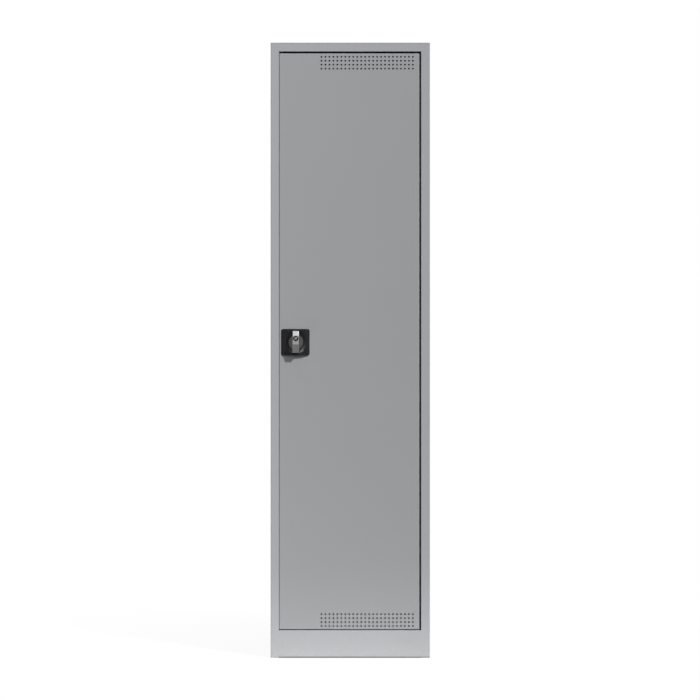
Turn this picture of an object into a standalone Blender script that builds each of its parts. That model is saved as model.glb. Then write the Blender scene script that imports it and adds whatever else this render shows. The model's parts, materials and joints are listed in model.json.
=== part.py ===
"""Free-standing spill containment cabinet: a folded steel carcass with an inset, perforated door,
a turn grip that drives two lock rods, and lift-out spill trays on clips.

Metres, +Z up. +X is to the right seen from the front, and the front faces -Y."""

import math

import bmesh
import bpy
from mathutils import Vector

# Overall size of the carcass
WIDTH = 0.505
DEPTH = 0.500
HEIGHT = 1.950

# Sheet steel, its folds, and the gap left between pieces that touch
CARCASS_SHEET = 0.0010
DOOR_SHEET = 0.0010
TRAY_SHEET = 0.0010
UPRIGHT_SHEET = 0.0012
FOLD_INSIDE = 0.0010
FOLD_STEPS = 2
FIT = 0.0003
RUNNING = 0.0002

# Front frame of the carcass
LOCK_STILE = 0.0260
HINGE_STILE = 0.0285
HEADER_HEIGHT = 0.0285
PLINTH_HEIGHT = 0.0870
PLINTH_LIFT = 0.0010
PLINTH_FOOT = 0.0200
RAIL_LIP = 0.0100
STOP_LIP = 0.0120
REAR_FLANGE = 0.0200
BACK_FLANGE = 0.0150
FOOT_FLANGE = 0.0200

# Rubber stops behind the lock side of the door
STOP_THICK = 0.0050
STOP_RADIUS = 0.0045
STOP_SPACING = 1.2000
# Points round the stop's edge, as shares of its radius and thickness
STOP_ROUNDING = ((0.6, 1.0), (0.9, 0.8), (1.0, 0.4))

# Door pan and its gaps to the frame
DOOR_DEPTH = 0.0200
DOOR_LIP = 0.0120
GAP_LOCK = 0.0020
GAP_TOP = 0.0055
GAP_BOTTOM = 0.0030

# Hinge axis: in from the door's edge and back from its face
HINGE_INSET = 0.0100
HINGE_SETBACK = 0.0100
SWING_CLEAR = 0.0010
PIN_RADIUS = 0.0040
PIN_HEAD_RADIUS = 0.0070
PIN_HEAD = 0.0020
PIN_CHAMFER = 0.0010
PIN_DEPTH = 0.0120
BUSH_WALL = 0.0020
BUSH_LENGTH = 0.0140
BUSH_COLLAR = 0.0015
BUSH_COLLAR_WIDTH = 0.0020

# Vent fields at the top and bottom of the door
VENT_DIAMETER = 0.0055
VENT_PITCH = 0.0125
VENT_COLUMNS = 24
VENT_ROWS = 4
VENT_HINGE_MARGIN = 0.0205
VENT_END_MARGIN = 0.0108
VENT_SIDES = 8

# Stiffener on the inside of the door
STIFFENER_CROWN = 0.0400
STIFFENER_FOOT = 0.0120
STIFFENER_FLARE = 0.0040
STIFFENER_DEPTH = 0.0140
STIFFENER_OFFSET = 0.0500
STIFFENER_END = 0.0200

# Lock: axis from the door's edge and the floor, then its parts from front to back
LOCK_INSET = 0.0520
LOCK_HEIGHT = 1.0000
ROUND_STEPS = 24
ROSE_WIDTH = 0.0900
ROSE_HEIGHT = 0.0835
ROSE_THICK = 0.0095
ROSE_CORNER = 0.0060
ROSE_EDGE = 0.0015
DISH_DEPTH = 0.0060
DISH_SLOPE = 0.0110
DISH_MARGIN = 0.0020
HUB_WALL = 0.0050
NUT_THICK = 0.0060
NUT_WALL = 0.0045
HUB_PROUD = 0.0020
GRIP_DISC_RADIUS = 0.0230
GRIP_DISC_FACE = 0.0120
GRIP_LENGTH = 0.0710
GRIP_FACE = 0.0300
GRIP_UNDERSIDE = 0.0110
GRIP_WALL = 0.0020
GRIP_EDGE = 0.0012
GRIP_TOP_SLOPE = 0.0145
GRIP_TOP_FACE = 0.0220
GRIP_LOW_SLOPE = 0.0295
GRIP_LOW_FACE = 0.0250
GRIP_FLOOR_GAP = 0.0007
SHAFT_RADIUS = 0.0085
SHAFT_END = 0.0160
SPINDLE_SIDE = 0.0080
SPINDLE_SOCKET = 0.0120
CYLINDER_RADIUS = 0.0080
CYLINDER_LENGTH = 0.0170
CYLINDER_OFFSET = 0.0120
CYLINDER_PROUD = 0.0010
CYLINDER_CHAMFER = 0.0008
KEYWAY_WIDTH = 0.0016
KEYWAY_LENGTH = 0.0090
KEYWAY_DEPTH = 0.0040

# Cam, crank pins and lock rods
CAM_THICK = 0.0030
CAM_CLEAR = 0.0020
CAM_MARGIN = 0.0040
TONGUE_WIDTH = 0.0160
TONGUE_BITE = 0.0090
TONGUE_CORNER = 0.0030
HANDLE_TURN = math.radians(90)
CRANK = 0.0175
CRANK_PIN_RADIUS = 0.0025
CRANK_TAIL_RADIUS = 0.0018
CRANK_RIVET = 0.0012
CRANK_STEPS = 10
SAG_SHARE = 0.03
CAM_SCREW_RADIUS = 0.0060
CAM_SCREW_HEAD = 0.0035
CAM_SCREW_SHANK = 0.0025
CAM_SCREW_LENGTH = 0.0100
ROD_THICK = 0.0030
ROD_CLEAR = 0.0020
ROD_METAL = 0.0030
ROD_SIDE_PLAY = 0.0004
ROD_TIP = 0.0060
ROD_SHORT = 0.0020
ROD_NOTCH_PLAY = 0.0020
GUIDE_WALL = 0.0050
GUIDE_BACK = 0.0030
GUIDE_TALL = 0.0160
GUIDE_EDGE = 0.0010
GUIDE_FROM_LOCK = 0.2500
GUIDE_FROM_END = 0.0500

# Slotted uprights and shelf clips
UPRIGHT_WIDTH = 0.0300
UPRIGHT_DEPTH = 0.0200
UPRIGHT_FRONT = 0.0950
UPRIGHT_REAR = 0.0850
SLOT_PITCH = 0.0875
SLOT_FIRST = 0.0825
SLOT_RISE = 0.0080
SLOT_PLAY = 0.0010
CLIP_THICK = 0.0020
CLIP_WIDTH = 0.0120
CLIP_HOOK = 0.0070
CLIP_DROP = 0.0180
CLIP_BITE = 0.0160

# Spill trays and the sump on the cabinet floor
TRAY_FRONT = 0.0500
TRAY_REAR = 0.0300
TRAY_SIDE_PLAY = 0.0040
TRAY_RIM = 0.0100
TRAY_WALL = 0.0600
SUMP_WALL = 0.0800
TRAY_COUNT = 4
TRAY_FIRST_SLOT = 3
TRAY_SLOT_STEP = 4

# Places worked out from the sizes above
HANDLE_REACH = GRIP_FACE + CYLINDER_PROUD
FRONT = (HANDLE_REACH - DEPTH) / 2
BACK = FRONT + DEPTH
HALF = WIDTH / 2
FOLD_OUTSIDE = CARCASS_SHEET + FOLD_INSIDE
LID_UNDERSIDE = HEIGHT - CARCASS_SHEET
INNER_HALF = HALF - CARCASS_SHEET - FIT
BACK_FACE = BACK - CARCASS_SHEET - FIT
HEADER_BOTTOM = HEIGHT - HEADER_HEIGHT
OPENING_LEFT = LOCK_STILE - HALF
OPENING_RIGHT = HALF - HINGE_STILE

GAP_HINGE = math.hypot(HINGE_INSET, HINGE_SETBACK) - HINGE_INSET + SWING_CLEAR
DOOR_LEFT = OPENING_LEFT + GAP_LOCK
DOOR_RIGHT = OPENING_RIGHT - GAP_HINGE
DOOR_BOTTOM = PLINTH_HEIGHT + GAP_BOTTOM
DOOR_TOP = HEADER_BOTTOM - GAP_TOP
HINGE_X = DOOR_RIGHT - HINGE_INSET
HINGE_Y = FRONT + HINGE_SETBACK
STOP_SETBACK = DOOR_DEPTH + STOP_THICK + 2 * FIT
RAIL_RETURN = DOOR_DEPTH

LOCK_X = DOOR_LEFT + LOCK_INSET
DISH_FLOOR_RADIUS = GRIP_DISC_RADIUS + DISH_MARGIN
DISH_RADIUS = DISH_FLOOR_RADIUS + DISH_SLOPE
ROSE_FACE = FIT + ROSE_THICK
DISH_FLOOR = ROSE_FACE - DISH_DEPTH
HUB_BORE = SHAFT_RADIUS + RUNNING
HUB_RADIUS = HUB_BORE + HUB_WALL
HUB_END = DOOR_SHEET + FIT + NUT_THICK + HUB_PROUD
GRIP_WIDTH = 2 * (CYLINDER_RADIUS + GRIP_WALL)

ROD_FACE = DOOR_DEPTH + ROD_CLEAR
ROD_BACK = ROD_FACE + ROD_THICK
CAM_FACE = max(STOP_SETBACK + CARCASS_SHEET, ROD_BACK) + CAM_CLEAR
CAM_BACK = CAM_FACE + CAM_THICK
CAM_RADIUS = CRANK + CRANK_PIN_RADIUS + CAM_MARGIN
TONGUE_REACH = GAP_LOCK + LOCK_INSET - STOP_LIP + TONGUE_BITE
CRANK_IN = CRANK * math.cos(HANDLE_TURN / 2)
CRANK_RISE = CRANK * math.sin(HANDLE_TURN / 2)
ROD_TRAVEL = 2 * CRANK_RISE
# The rods move in proportion to the grip, so their slots leave room for the crank's departure from that
CRANK_SAG = SAG_SHARE * CRANK
SLOT_HALF = CRANK_PIN_RADIUS + CRANK_SAG + FIT
SLOT_IN = CRANK_IN - CRANK_PIN_RADIUS - ROD_SIDE_PLAY
SLOT_OUT = CRANK + CRANK_PIN_RADIUS + ROD_SIDE_PLAY
ROD_X = (SLOT_IN + SLOT_OUT) / 2
ROD_WIDTH = SLOT_OUT - SLOT_IN + 2 * ROD_METAL

UPRIGHT_FACE = INNER_HALF - UPRIGHT_DEPTH
SLOT_HEIGHT = CLIP_THICK + SLOT_RISE
SLOT_WIDTH = CLIP_WIDTH + 2 * SLOT_PLAY
CLIP_FACE = UPRIGHT_FACE - FIT - CLIP_THICK
TRAY_HALF = CLIP_FACE - TRAY_SIDE_PLAY
TRAY_Y0 = FRONT + TRAY_FRONT
TRAY_Y1 = BACK - TRAY_REAR
UPRIGHT_ROWS = {"front": FRONT + UPRIGHT_FRONT, "rear": BACK - UPRIGHT_REAR}
SIDES = {"left": -1, "right": 1}

# Which world axes a section's two coordinates and its length run along
SECTION_AXES = {
    "plan": (Vector((1, 0, 0)), Vector((0, 1, 0)), Vector((0, 0, 1))),
    "side": (Vector((0, 1, 0)), Vector((0, 0, 1)), Vector((1, 0, 0))),
    "front": (Vector((0, 0, 1)), Vector((1, 0, 0)), Vector((0, 1, 0))),
}


def new_collection(name):
    collection = bpy.data.collections.new(name)
    bpy.context.scene.collection.children.link(collection)
    return collection


def finish(name, colour, roughness, metallic):
    """A plain material with one colour."""
    material = bpy.data.materials.new(name)
    material.use_nodes = True
    shader = material.node_tree.nodes["Principled BSDF"]
    shader.inputs["Base Color"].default_value = (*colour, 1.0)
    shader.inputs["Roughness"].default_value = roughness
    shader.inputs["Metallic"].default_value = metallic
    return material


class Workshop:
    """The collections and finishes that every piece goes into."""

    def __init__(self):
        self.parts = new_collection("spill_containment_cabinet")
        self.cutters = new_collection("cutters")
        self.frame_paint = finish("frame_paint", (0.385, 0.395, 0.415), 0.45, 0.0)
        self.door_paint = finish("door_paint", (0.335, 0.340, 0.350), 0.45, 0.0)
        self.black_plastic = finish("black_plastic", (0.012, 0.012, 0.013), 0.30, 0.0)
        self.satin_metal = finish("satin_metal", (0.60, 0.60, 0.60), 0.30, 1.0)
        self.zinc_steel = finish("zinc_steel", (0.56, 0.57, 0.58), 0.40, 1.0)
        self.galvanised = finish("galvanised", (0.50, 0.52, 0.53), 0.50, 1.0)
        self.nylon = finish("nylon", (0.020, 0.020, 0.022), 0.60, 0.0)
        self.rubber = finish("rubber", (0.015, 0.015, 0.015), 0.85, 0.0)

    def part(self, name, mesh, material):
        obj = bpy.data.objects.new(name, mesh)
        mesh.materials.append(material)
        self.parts.objects.link(obj)
        return obj

    def tool(self, name, mesh):
        """A helper body that cuts or extends a part and isn't itself a piece."""
        obj = bpy.data.objects.new(name, mesh)
        obj.hide_render = True
        obj.display_type = "WIRE"
        self.cutters.objects.link(obj)
        return obj


def mesh_from(bm, name):
    mesh = bpy.data.meshes.new(name)
    bm.to_mesh(mesh)
    bm.free()
    return mesh


def box_mesh(name, low, high):
    bm = bmesh.new()
    bmesh.ops.create_cube(bm, size=1.0)
    low, high = Vector(low), Vector(high)
    bmesh.ops.scale(bm, vec=high - low, verts=bm.verts)
    bmesh.ops.translate(bm, vec=(low + high) / 2, verts=bm.verts)
    return mesh_from(bm, name)


def cone_mesh(name, low_radius, high_radius, low, high, steps):
    """A round bar or a cone along local Z, from height low to high."""
    bm = bmesh.new()
    bmesh.ops.create_cone(
        bm,
        cap_ends=True,
        segments=steps,
        radius1=low_radius,
        radius2=high_radius,
        depth=high - low,
    )
    bmesh.ops.translate(bm, vec=(0, 0, (low + high) / 2), verts=bm.verts)
    return mesh_from(bm, name)


def rounded(path, radius):
    """The open path with an arc of this radius at each corner."""
    points = [Vector(path[0])]
    for before, corner, after in zip(path, path[1:], path[2:]):
        corner = Vector(corner)
        back = (Vector(before) - corner).normalized()
        ahead = (Vector(after) - corner).normalized()
        half = back.angle(ahead) / 2
        centre = corner + (back + ahead).normalized() * radius / math.sin(half)
        start = (corner + back * radius / math.tan(half) - centre).normalized()
        end = (corner + ahead * radius / math.tan(half) - centre).normalized()
        points += [centre + radius * start.slerp(end, i / FOLD_STEPS) for i in range(FOLD_STEPS + 1)]
    return points + [Vector(path[-1])]


def folded_mesh(name, path, view, start, end, fold):
    """An open sheet that follows a section path and runs from start to end along the view's third axis.

    Its faces point to the right of the path, so Solidify thickens it to the left."""
    along_u, along_v, along_w = SECTION_AXES[view]
    path = rounded(path, fold)
    bm = bmesh.new()
    row = [bm.verts.new(along_u * u + along_v * v + along_w * start) for u, v in path]
    edges = [bm.edges.new(pair) for pair in zip(row, row[1:])]
    made = bmesh.ops.extrude_edge_only(bm, edges=edges)["geom"]
    far = [item for item in made if isinstance(item, bmesh.types.BMVert)]
    bmesh.ops.translate(bm, vec=along_w * (end - start), verts=far)
    bm.normal_update()
    run = path[1] - path[0]
    left = along_v * run.x - along_u * run.y
    if row[0].link_faces[0].normal.dot(left) > 0:
        bmesh.ops.reverse_faces(bm, faces=bm.faces)
    return mesh_from(bm, name)


def mirrored(path, side):
    """The plan path as drawn for the left, or turned over for the right, thickness still inside."""
    if side < 0:
        return path
    return [(-x, y) for x, y in reversed(path)]


def thicken(obj, thickness):
    solidify = obj.modifiers.new("sheet", "SOLIDIFY")
    solidify.thickness = thickness
    solidify.offset = -1
    solidify.use_even_offset = True


def soften(obj, width, segments=2):
    bevel = obj.modifiers.new("edges", "BEVEL")
    bevel.width = width
    bevel.segments = segments
    bevel.limit_method = "ANGLE"


def boolean(obj, other, operation):
    modifier = obj.modifiers.new(other.name, "BOOLEAN")
    modifier.operation = operation
    modifier.solver = "EXACT"
    modifier.object = other


def repeat(obj, count, step):
    array = obj.modifiers.new("repeat", "ARRAY")
    array.count = count
    array.use_relative_offset = False
    array.use_constant_offset = True
    array.constant_offset_displace = step


def turned_mesh(name, profile, closed=False):
    """A profile of (radius, height) points, running down its outer side, to be spun about local Z."""
    mesh = bpy.data.meshes.new(name)
    edges = [(i, i + 1) for i in range(len(profile) - 1)]
    if closed:
        edges.append((len(profile) - 1, 0))
    mesh.from_pydata([(r, 0, z) for r, z in profile], edges, [])
    return mesh


def spin(obj, steps):
    screw = obj.modifiers.new("spin", "SCREW")
    screw.axis = "Z"
    screw.steps = steps
    screw.render_steps = steps
    screw.use_merge_vertices = True
    screw.merge_threshold = 0.00001
    screw.use_smooth_shade = True


def slab_mesh(name, loops, thickness):
    """A flat outline with its holes, in local XY and half its thickness each way along Z."""
    curve = bpy.data.curves.new(name, "CURVE")
    curve.dimensions = "2D"
    curve.fill_mode = "BOTH"
    curve.extrude = thickness / 2
    for loop in loops:
        spline = curve.splines.new("POLY")
        spline.points.add(len(loop) - 1)
        for point, (x, y) in zip(spline.points, loop):
            point.co = (x, y, 0, 1)
        spline.use_cyclic_u = True
    drawn = bpy.data.objects.new(name, curve)
    bpy.context.scene.collection.objects.link(drawn)
    graph = bpy.context.evaluated_depsgraph_get()
    mesh = bpy.data.meshes.new_from_object(drawn.evaluated_get(graph))
    bpy.data.objects.remove(drawn)
    bpy.data.curves.remove(curve)
    bm = bmesh.new()
    bm.from_mesh(mesh)
    bmesh.ops.remove_doubles(bm, verts=bm.verts, dist=0.000001)
    bm.to_mesh(mesh)
    bm.free()
    mesh.name = name
    return mesh


def arc(centre, radius, start, end, steps):
    """Points round an arc, angles in radians from +X."""
    turns = [start + (end - start) * i / steps for i in range(steps + 1)]
    return [(centre[0] + radius * math.cos(a), centre[1] + radius * math.sin(a)) for a in turns]


def rounded_rectangle(low, high, radius, steps):
    """A rectangle with round corners, from its low to its high corner."""
    (x0, y0), (x1, y1) = low, high
    centres = [
        (x1 - radius, y1 - radius),
        (x0 + radius, y1 - radius),
        (x0 + radius, y0 + radius),
        (x1 - radius, y0 + radius),
    ]
    quarter = math.pi / 2
    loop = []
    for i, centre in enumerate(centres):
        loop += arc(centre, radius, i * quarter, (i + 1) * quarter, steps)
    return loop


def circle(centre, radius, steps):
    return arc(centre, radius, 0, 2 * math.pi * (1 - 1 / steps), steps - 1)


def square(side):
    half = side / 2
    return [(half, half), (-half, half), (-half, -half), (half, -half)]


def place(obj, parent, location=(0, 0, 0), rotation=(0, 0, 0)):
    obj.parent = parent
    obj.location = location
    obj.rotation_euler = rotation


def pivot(shop, name, location, rotation=(0, 0, 0), parent=None):
    """An empty on a joint's axis."""
    empty = bpy.data.objects.new(name, None)
    empty.empty_display_size = 0.05
    shop.parts.objects.link(empty)
    place(empty, parent, location, rotation)
    return empty


def side_panel(shop, name, side):
    """One side sheet with its rear flange, front stile, return and, on the lock side, a stop lip."""
    stile = LOCK_STILE if side < 0 else HINGE_STILE
    path = [
        (-HALF + REAR_FLANGE, BACK),
        (-HALF, BACK),
        (-HALF, FRONT),
        (-HALF + stile, FRONT),
        (-HALF + stile, FRONT + STOP_SETBACK),
    ]
    if side < 0:
        path.append((-HALF + stile + STOP_LIP, FRONT + STOP_SETBACK))
    mesh = folded_mesh(name, mirrored(path, side), "plan", 0, LID_UNDERSIDE - FIT, FOLD_OUTSIDE)
    panel = shop.part(name, mesh, shop.frame_paint)
    thicken(panel, CARCASS_SHEET)
    outer = side * (HALF - CARCASS_SHEET / 2)
    inner = side * (HALF - FOOT_FLANGE)
    foot = shop.tool(
        f"{name}_foot",
        box_mesh(
            f"{name}_foot",
            (min(outer, inner), FRONT + STOP_SETBACK + STOP_LIP, 0),
            (max(outer, inner), BACK_FACE - BACK_FLANGE - CARCASS_SHEET, CARCASS_SHEET),
        ),
    )
    boolean(panel, foot, "UNION")


def back_panel(shop):
    path = [
        (INNER_HALF, BACK_FACE - BACK_FLANGE),
        (INNER_HALF, BACK_FACE),
        (-INNER_HALF, BACK_FACE),
        (-INNER_HALF, BACK_FACE - BACK_FLANGE),
    ]
    mesh = folded_mesh("back_panel", path, "plan", PLINTH_LIFT, LID_UNDERSIDE - FIT, FOLD_OUTSIDE)
    thicken(shop.part("back_panel", mesh, shop.frame_paint), CARCASS_SHEET)


def top_panel(shop):
    mesh = box_mesh("top_panel", (-HALF, FRONT, LID_UNDERSIDE), (HALF, BACK, HEIGHT))
    panel = shop.part("top_panel", mesh, shop.frame_paint)
    soften(panel, CARCASS_SHEET / 4, 1)


def rail(shop, name, path):
    """A folded rail across the front, between the two stiles."""
    mesh = folded_mesh(name, path, "side", OPENING_LEFT + FIT, OPENING_RIGHT - FIT, FOLD_OUTSIDE)
    piece = shop.part(name, mesh, shop.frame_paint)
    thicken(piece, CARCASS_SHEET)
    return piece


def header_rail(shop):
    top = LID_UNDERSIDE - FIT
    rear = FRONT + RAIL_RETURN
    path = [
        (rear, top),
        (FRONT, top),
        (FRONT, HEADER_BOTTOM),
        (rear, HEADER_BOTTOM),
        (rear, HEADER_BOTTOM + RAIL_LIP),
    ]
    return rail(shop, "header_rail", path)


def plinth_rail(shop):
    rear = FRONT + RAIL_RETURN
    path = [
        (rear, PLINTH_HEIGHT - RAIL_LIP),
        (rear, PLINTH_HEIGHT),
        (FRONT, PLINTH_HEIGHT),
        (FRONT, PLINTH_LIFT),
        (FRONT + PLINTH_FOOT, PLINTH_LIFT),
    ]
    return rail(shop, "plinth_rail", path)


def floor_panel(shop):
    """The cabinet floor, notched round the stiles and where the lower lock rod goes down."""
    side = INNER_HALF - CARCASS_SHEET - FIT
    rear = BACK_FACE - CARCASS_SHEET - FIT
    front = FRONT + RAIL_RETURN + FIT
    behind_stile = FRONT + STOP_SETBACK + CARCASS_SHEET + FIT
    notch_left = LOCK_X + ROD_X - ROD_WIDTH / 2 - ROD_NOTCH_PLAY
    notch_right = LOCK_X + ROD_X + ROD_WIDTH / 2 + ROD_NOTCH_PLAY
    notch_rear = FRONT + ROD_BACK + ROD_NOTCH_PLAY
    lock_corner = OPENING_LEFT + STOP_LIP + FIT
    hinge_corner = OPENING_RIGHT - FIT
    outline = [
        (FOLD_OUTSIDE - side, rear),
        (-side, rear - FOLD_OUTSIDE),
        (-side, behind_stile),
        (lock_corner, behind_stile),
        (lock_corner, front),
        (notch_left, front),
        (notch_left, notch_rear),
        (notch_right, notch_rear),
        (notch_right, front),
        (hinge_corner, front),
        (hinge_corner, behind_stile),
        (side, behind_stile),
        (side, rear - FOLD_OUTSIDE),
        (side - FOLD_OUTSIDE, rear),
    ]
    mesh = slab_mesh("floor_panel", [outline], CARCASS_SHEET)
    panel = shop.part("floor_panel", mesh, shop.frame_paint)
    panel.location.z = PLINTH_HEIGHT - CARCASS_SHEET / 2


def upright(shop, name, side, row):
    """A slotted channel that the shelf clips hang in."""
    y0, y1 = row - UPRIGHT_WIDTH / 2, row + UPRIGHT_WIDTH / 2
    path = [(-INNER_HALF, y0), (-UPRIGHT_FACE, y0), (-UPRIGHT_FACE, y1), (-INNER_HALF, y1)]
    bottom, top = PLINTH_HEIGHT + FIT, LID_UNDERSIDE - FIT
    fold = UPRIGHT_SHEET + FOLD_INSIDE
    mesh = folded_mesh(name, mirrored(path, side), "plan", bottom, top, fold)
    channel = shop.part(name, mesh, shop.galvanised)
    thicken(channel, UPRIGHT_SHEET)
    face = side * UPRIGHT_FACE
    reach = (2 * UPRIGHT_SHEET, SLOT_WIDTH / 2, SLOT_HEIGHT / 2)
    slots = shop.tool(f"{name}_slots", box_mesh(f"{name}_slots", [-r for r in reach], reach))
    slots.location = (face, row, slot_height(0))
    repeat(slots, int((top - SLOT_PITCH / 2 - slot_height(0)) / SLOT_PITCH) + 1, (0, 0, SLOT_PITCH))
    boolean(channel, slots, "DIFFERENCE")


def slot_height(index):
    """The middle of a slot, counted from the floor of the cabinet."""
    return PLINTH_HEIGHT + SLOT_FIRST + index * SLOT_PITCH


def tray_slot(index):
    return TRAY_FIRST_SLOT + index * TRAY_SLOT_STEP


def clip_top(index):
    """Where a clip in this slot holds a tray up: its hook rests on the slot's lower edge."""
    return slot_height(index) - SLOT_HEIGHT / 2 + FIT + CLIP_THICK - CLIP_DROP


def shelf_clip(shop, name, side, row, index):
    """A bent strip that hooks into an upright and reaches under a tray."""
    hook_x = UPRIGHT_FACE + UPRIGHT_SHEET + FIT + CLIP_THICK
    tip_x = TRAY_HALF - TRAY_RIM - CLIP_BITE
    tab = clip_top(index)
    top = tab + CLIP_DROP
    path = [
        (top - CLIP_HOOK, -hook_x),
        (top, -hook_x),
        (top, -CLIP_FACE),
        (tab, -CLIP_FACE),
        (tab, -tip_x),
    ]
    if side > 0:
        path = [(z, -x) for z, x in reversed(path)]
    start, end = row - CLIP_WIDTH / 2, row + CLIP_WIDTH / 2
    mesh = folded_mesh(name, path, "front", start, end, CLIP_THICK + FOLD_INSIDE / 2)
    thicken(shop.part(name, mesh, shop.zinc_steel), CLIP_THICK)


def tray(shop, name, wall, base):
    """An open spill tray with a turned-out rim, its underside at the base height."""
    half = TRAY_HALF - TRAY_RIM
    y0, y1 = TRAY_Y0 + TRAY_RIM, TRAY_Y1 - TRAY_RIM
    middle = Vector((0, (y0 + y1) / 2, 0))
    bm = bmesh.new()
    bmesh.ops.create_cube(bm, size=1.0)
    bmesh.ops.scale(bm, vec=(2 * half, y1 - y0, wall), verts=bm.verts)
    bmesh.ops.translate(bm, vec=(0, 0, wall / 2), verts=bm.verts)
    lid = [face for face in bm.faces if face.normal.z > 0.5]
    bmesh.ops.delete(bm, geom=lid, context="FACES")
    brim = [edge for edge in bm.edges if edge.is_boundary]
    made = bmesh.ops.extrude_edge_only(bm, edges=brim)["geom"]
    for vert in made:
        if isinstance(vert, bmesh.types.BMVert):
            vert.co.x += math.copysign(TRAY_RIM, vert.co.x)
            vert.co.y += math.copysign(TRAY_RIM, vert.co.y)
    piece = shop.part(name, mesh_from(bm, name), shop.galvanised)
    piece.location = middle + Vector((0, 0, base))
    soften(piece, TRAY_SHEET + FOLD_INSIDE, 1)
    thicken(piece, TRAY_SHEET)


def hinge_pin(shop, name, seat, up, door_edge):
    """A headed pin through a rail. It points up or down into the door, whose edge is at door_edge."""
    head = seat - up * (CARCASS_SHEET + FIT)
    tip = abs(door_edge + up * PIN_DEPTH - head)
    profile = [
        (0, PIN_HEAD),
        (PIN_HEAD_RADIUS, PIN_HEAD),
        (PIN_HEAD_RADIUS, 0),
        (PIN_RADIUS, 0),
        (PIN_RADIUS, PIN_CHAMFER - tip),
        (PIN_RADIUS - PIN_CHAMFER, -tip),
        (0, -tip),
    ]
    pin = shop.part(name, turned_mesh(name, profile), shop.zinc_steel)
    spin(pin, ROUND_STEPS // 2)
    place(pin, None, (HINGE_X, HINGE_Y, head), (math.pi if up > 0 else 0, 0, 0))


def pin_hole(shop, piece, height):
    """The hole that a hinge pin goes through in a rail."""
    name = f"{piece.name}_pin_hole"
    radius = PIN_RADIUS + FIT
    hole = shop.tool(name, cone_mesh(name, radius, radius, -PIN_HEAD, PIN_HEAD, ROUND_STEPS // 2))
    hole.location = (HINGE_X, HINGE_Y, height)
    boolean(piece, hole, "DIFFERENCE")


def hinge_bush(shop, name, door, edge, up, collar):
    """A flanged bush in the door's top or bottom edge, round the hinge pin."""
    bore = PIN_RADIUS + RUNNING
    sleeve = bore + BUSH_WALL
    rim = sleeve + BUSH_COLLAR_WIDTH
    profile = [
        (bore, FIT + collar),
        (rim, FIT + collar),
        (rim, FIT),
        (sleeve, FIT),
        (sleeve, -BUSH_LENGTH),
        (bore, -BUSH_LENGTH),
    ]
    bush = shop.part(name, turned_mesh(name, profile, closed=True), shop.nylon)
    spin(bush, ROUND_STEPS // 2)
    place(bush, door, (0, 0, edge), (0 if up > 0 else math.pi, 0, 0))


def vent_field(shop, door, name, row_height):
    """Cuts one field of round vents, counted from the hinge side."""
    radius = VENT_DIAMETER / 2
    field = shop.tool(name, cone_mesh(name, radius, radius, -DOOR_SHEET, 2 * DOOR_SHEET, VENT_SIDES))
    first_x = DOOR_RIGHT - VENT_HINGE_MARGIN
    place(field, None, (first_x, FRONT + DOOR_SHEET, row_height), (math.pi / 2, 0, 0))
    repeat(field, VENT_COLUMNS, (-VENT_PITCH, 0, 0))
    repeat(field, VENT_ROWS, (0, VENT_PITCH, 0))
    boolean(door, field, "DIFFERENCE")


def door_skin(shop, hinge):
    """The door: a shallow pan with lips down its sides, vents, and holes for the lock and hinge bushes."""
    bm = bmesh.new()
    bmesh.ops.create_cube(bm, size=1.0)
    size = (DOOR_RIGHT - DOOR_LEFT, DOOR_DEPTH, DOOR_TOP - DOOR_BOTTOM)
    middle = Vector(((DOOR_LEFT + DOOR_RIGHT) / 2, FRONT + DOOR_DEPTH / 2, (DOOR_BOTTOM + DOOR_TOP) / 2))
    bmesh.ops.scale(bm, vec=size, verts=bm.verts)
    bmesh.ops.translate(bm, vec=middle - hinge.location, verts=bm.verts)
    rear = [face for face in bm.faces if face.normal.y > 0.5]
    lips = bmesh.ops.inset_region(bm, faces=rear, thickness=DOOR_LIP, use_even_offset=True)["faces"]
    across = (middle - hinge.location).x
    ends = [lip for lip in lips if abs(lip.calc_center_bounds().x - across) < DOOR_LIP]
    bmesh.ops.delete(bm, geom=rear + ends, context="FACES")
    skin = shop.part("door_skin", mesh_from(bm, "door_skin"), shop.door_paint)
    place(skin, hinge)
    soften(skin, DOOR_SHEET + FOLD_INSIDE)
    thicken(skin, DOOR_SHEET)
    vent_field(shop, skin, "lower_vents", DOOR_BOTTOM + VENT_END_MARGIN)
    vent_field(shop, skin, "upper_vents", DOOR_TOP - VENT_END_MARGIN - (VENT_ROWS - 1) * VENT_PITCH)
    hub_hole = HUB_RADIUS + FIT
    lock_hole = shop.tool(
        "lock_hole", cone_mesh("lock_hole", hub_hole, hub_hole, -DOOR_SHEET, DOOR_SHEET, ROUND_STEPS)
    )
    place(lock_hole, None, (LOCK_X, FRONT + DOOR_SHEET / 2, LOCK_HEIGHT), (math.pi / 2, 0, 0))
    boolean(skin, lock_hole, "DIFFERENCE")
    radius = PIN_RADIUS + RUNNING + BUSH_WALL + FIT
    reach = 2 * DOOR_SHEET
    for name, edge in (("top_bush_hole", DOOR_TOP), ("bottom_bush_hole", DOOR_BOTTOM)):
        hole = shop.tool(name, cone_mesh(name, radius, radius, -reach, reach, ROUND_STEPS // 2))
        hole.location = (HINGE_X, HINGE_Y, edge)
        boolean(skin, hole, "DIFFERENCE")


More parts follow.
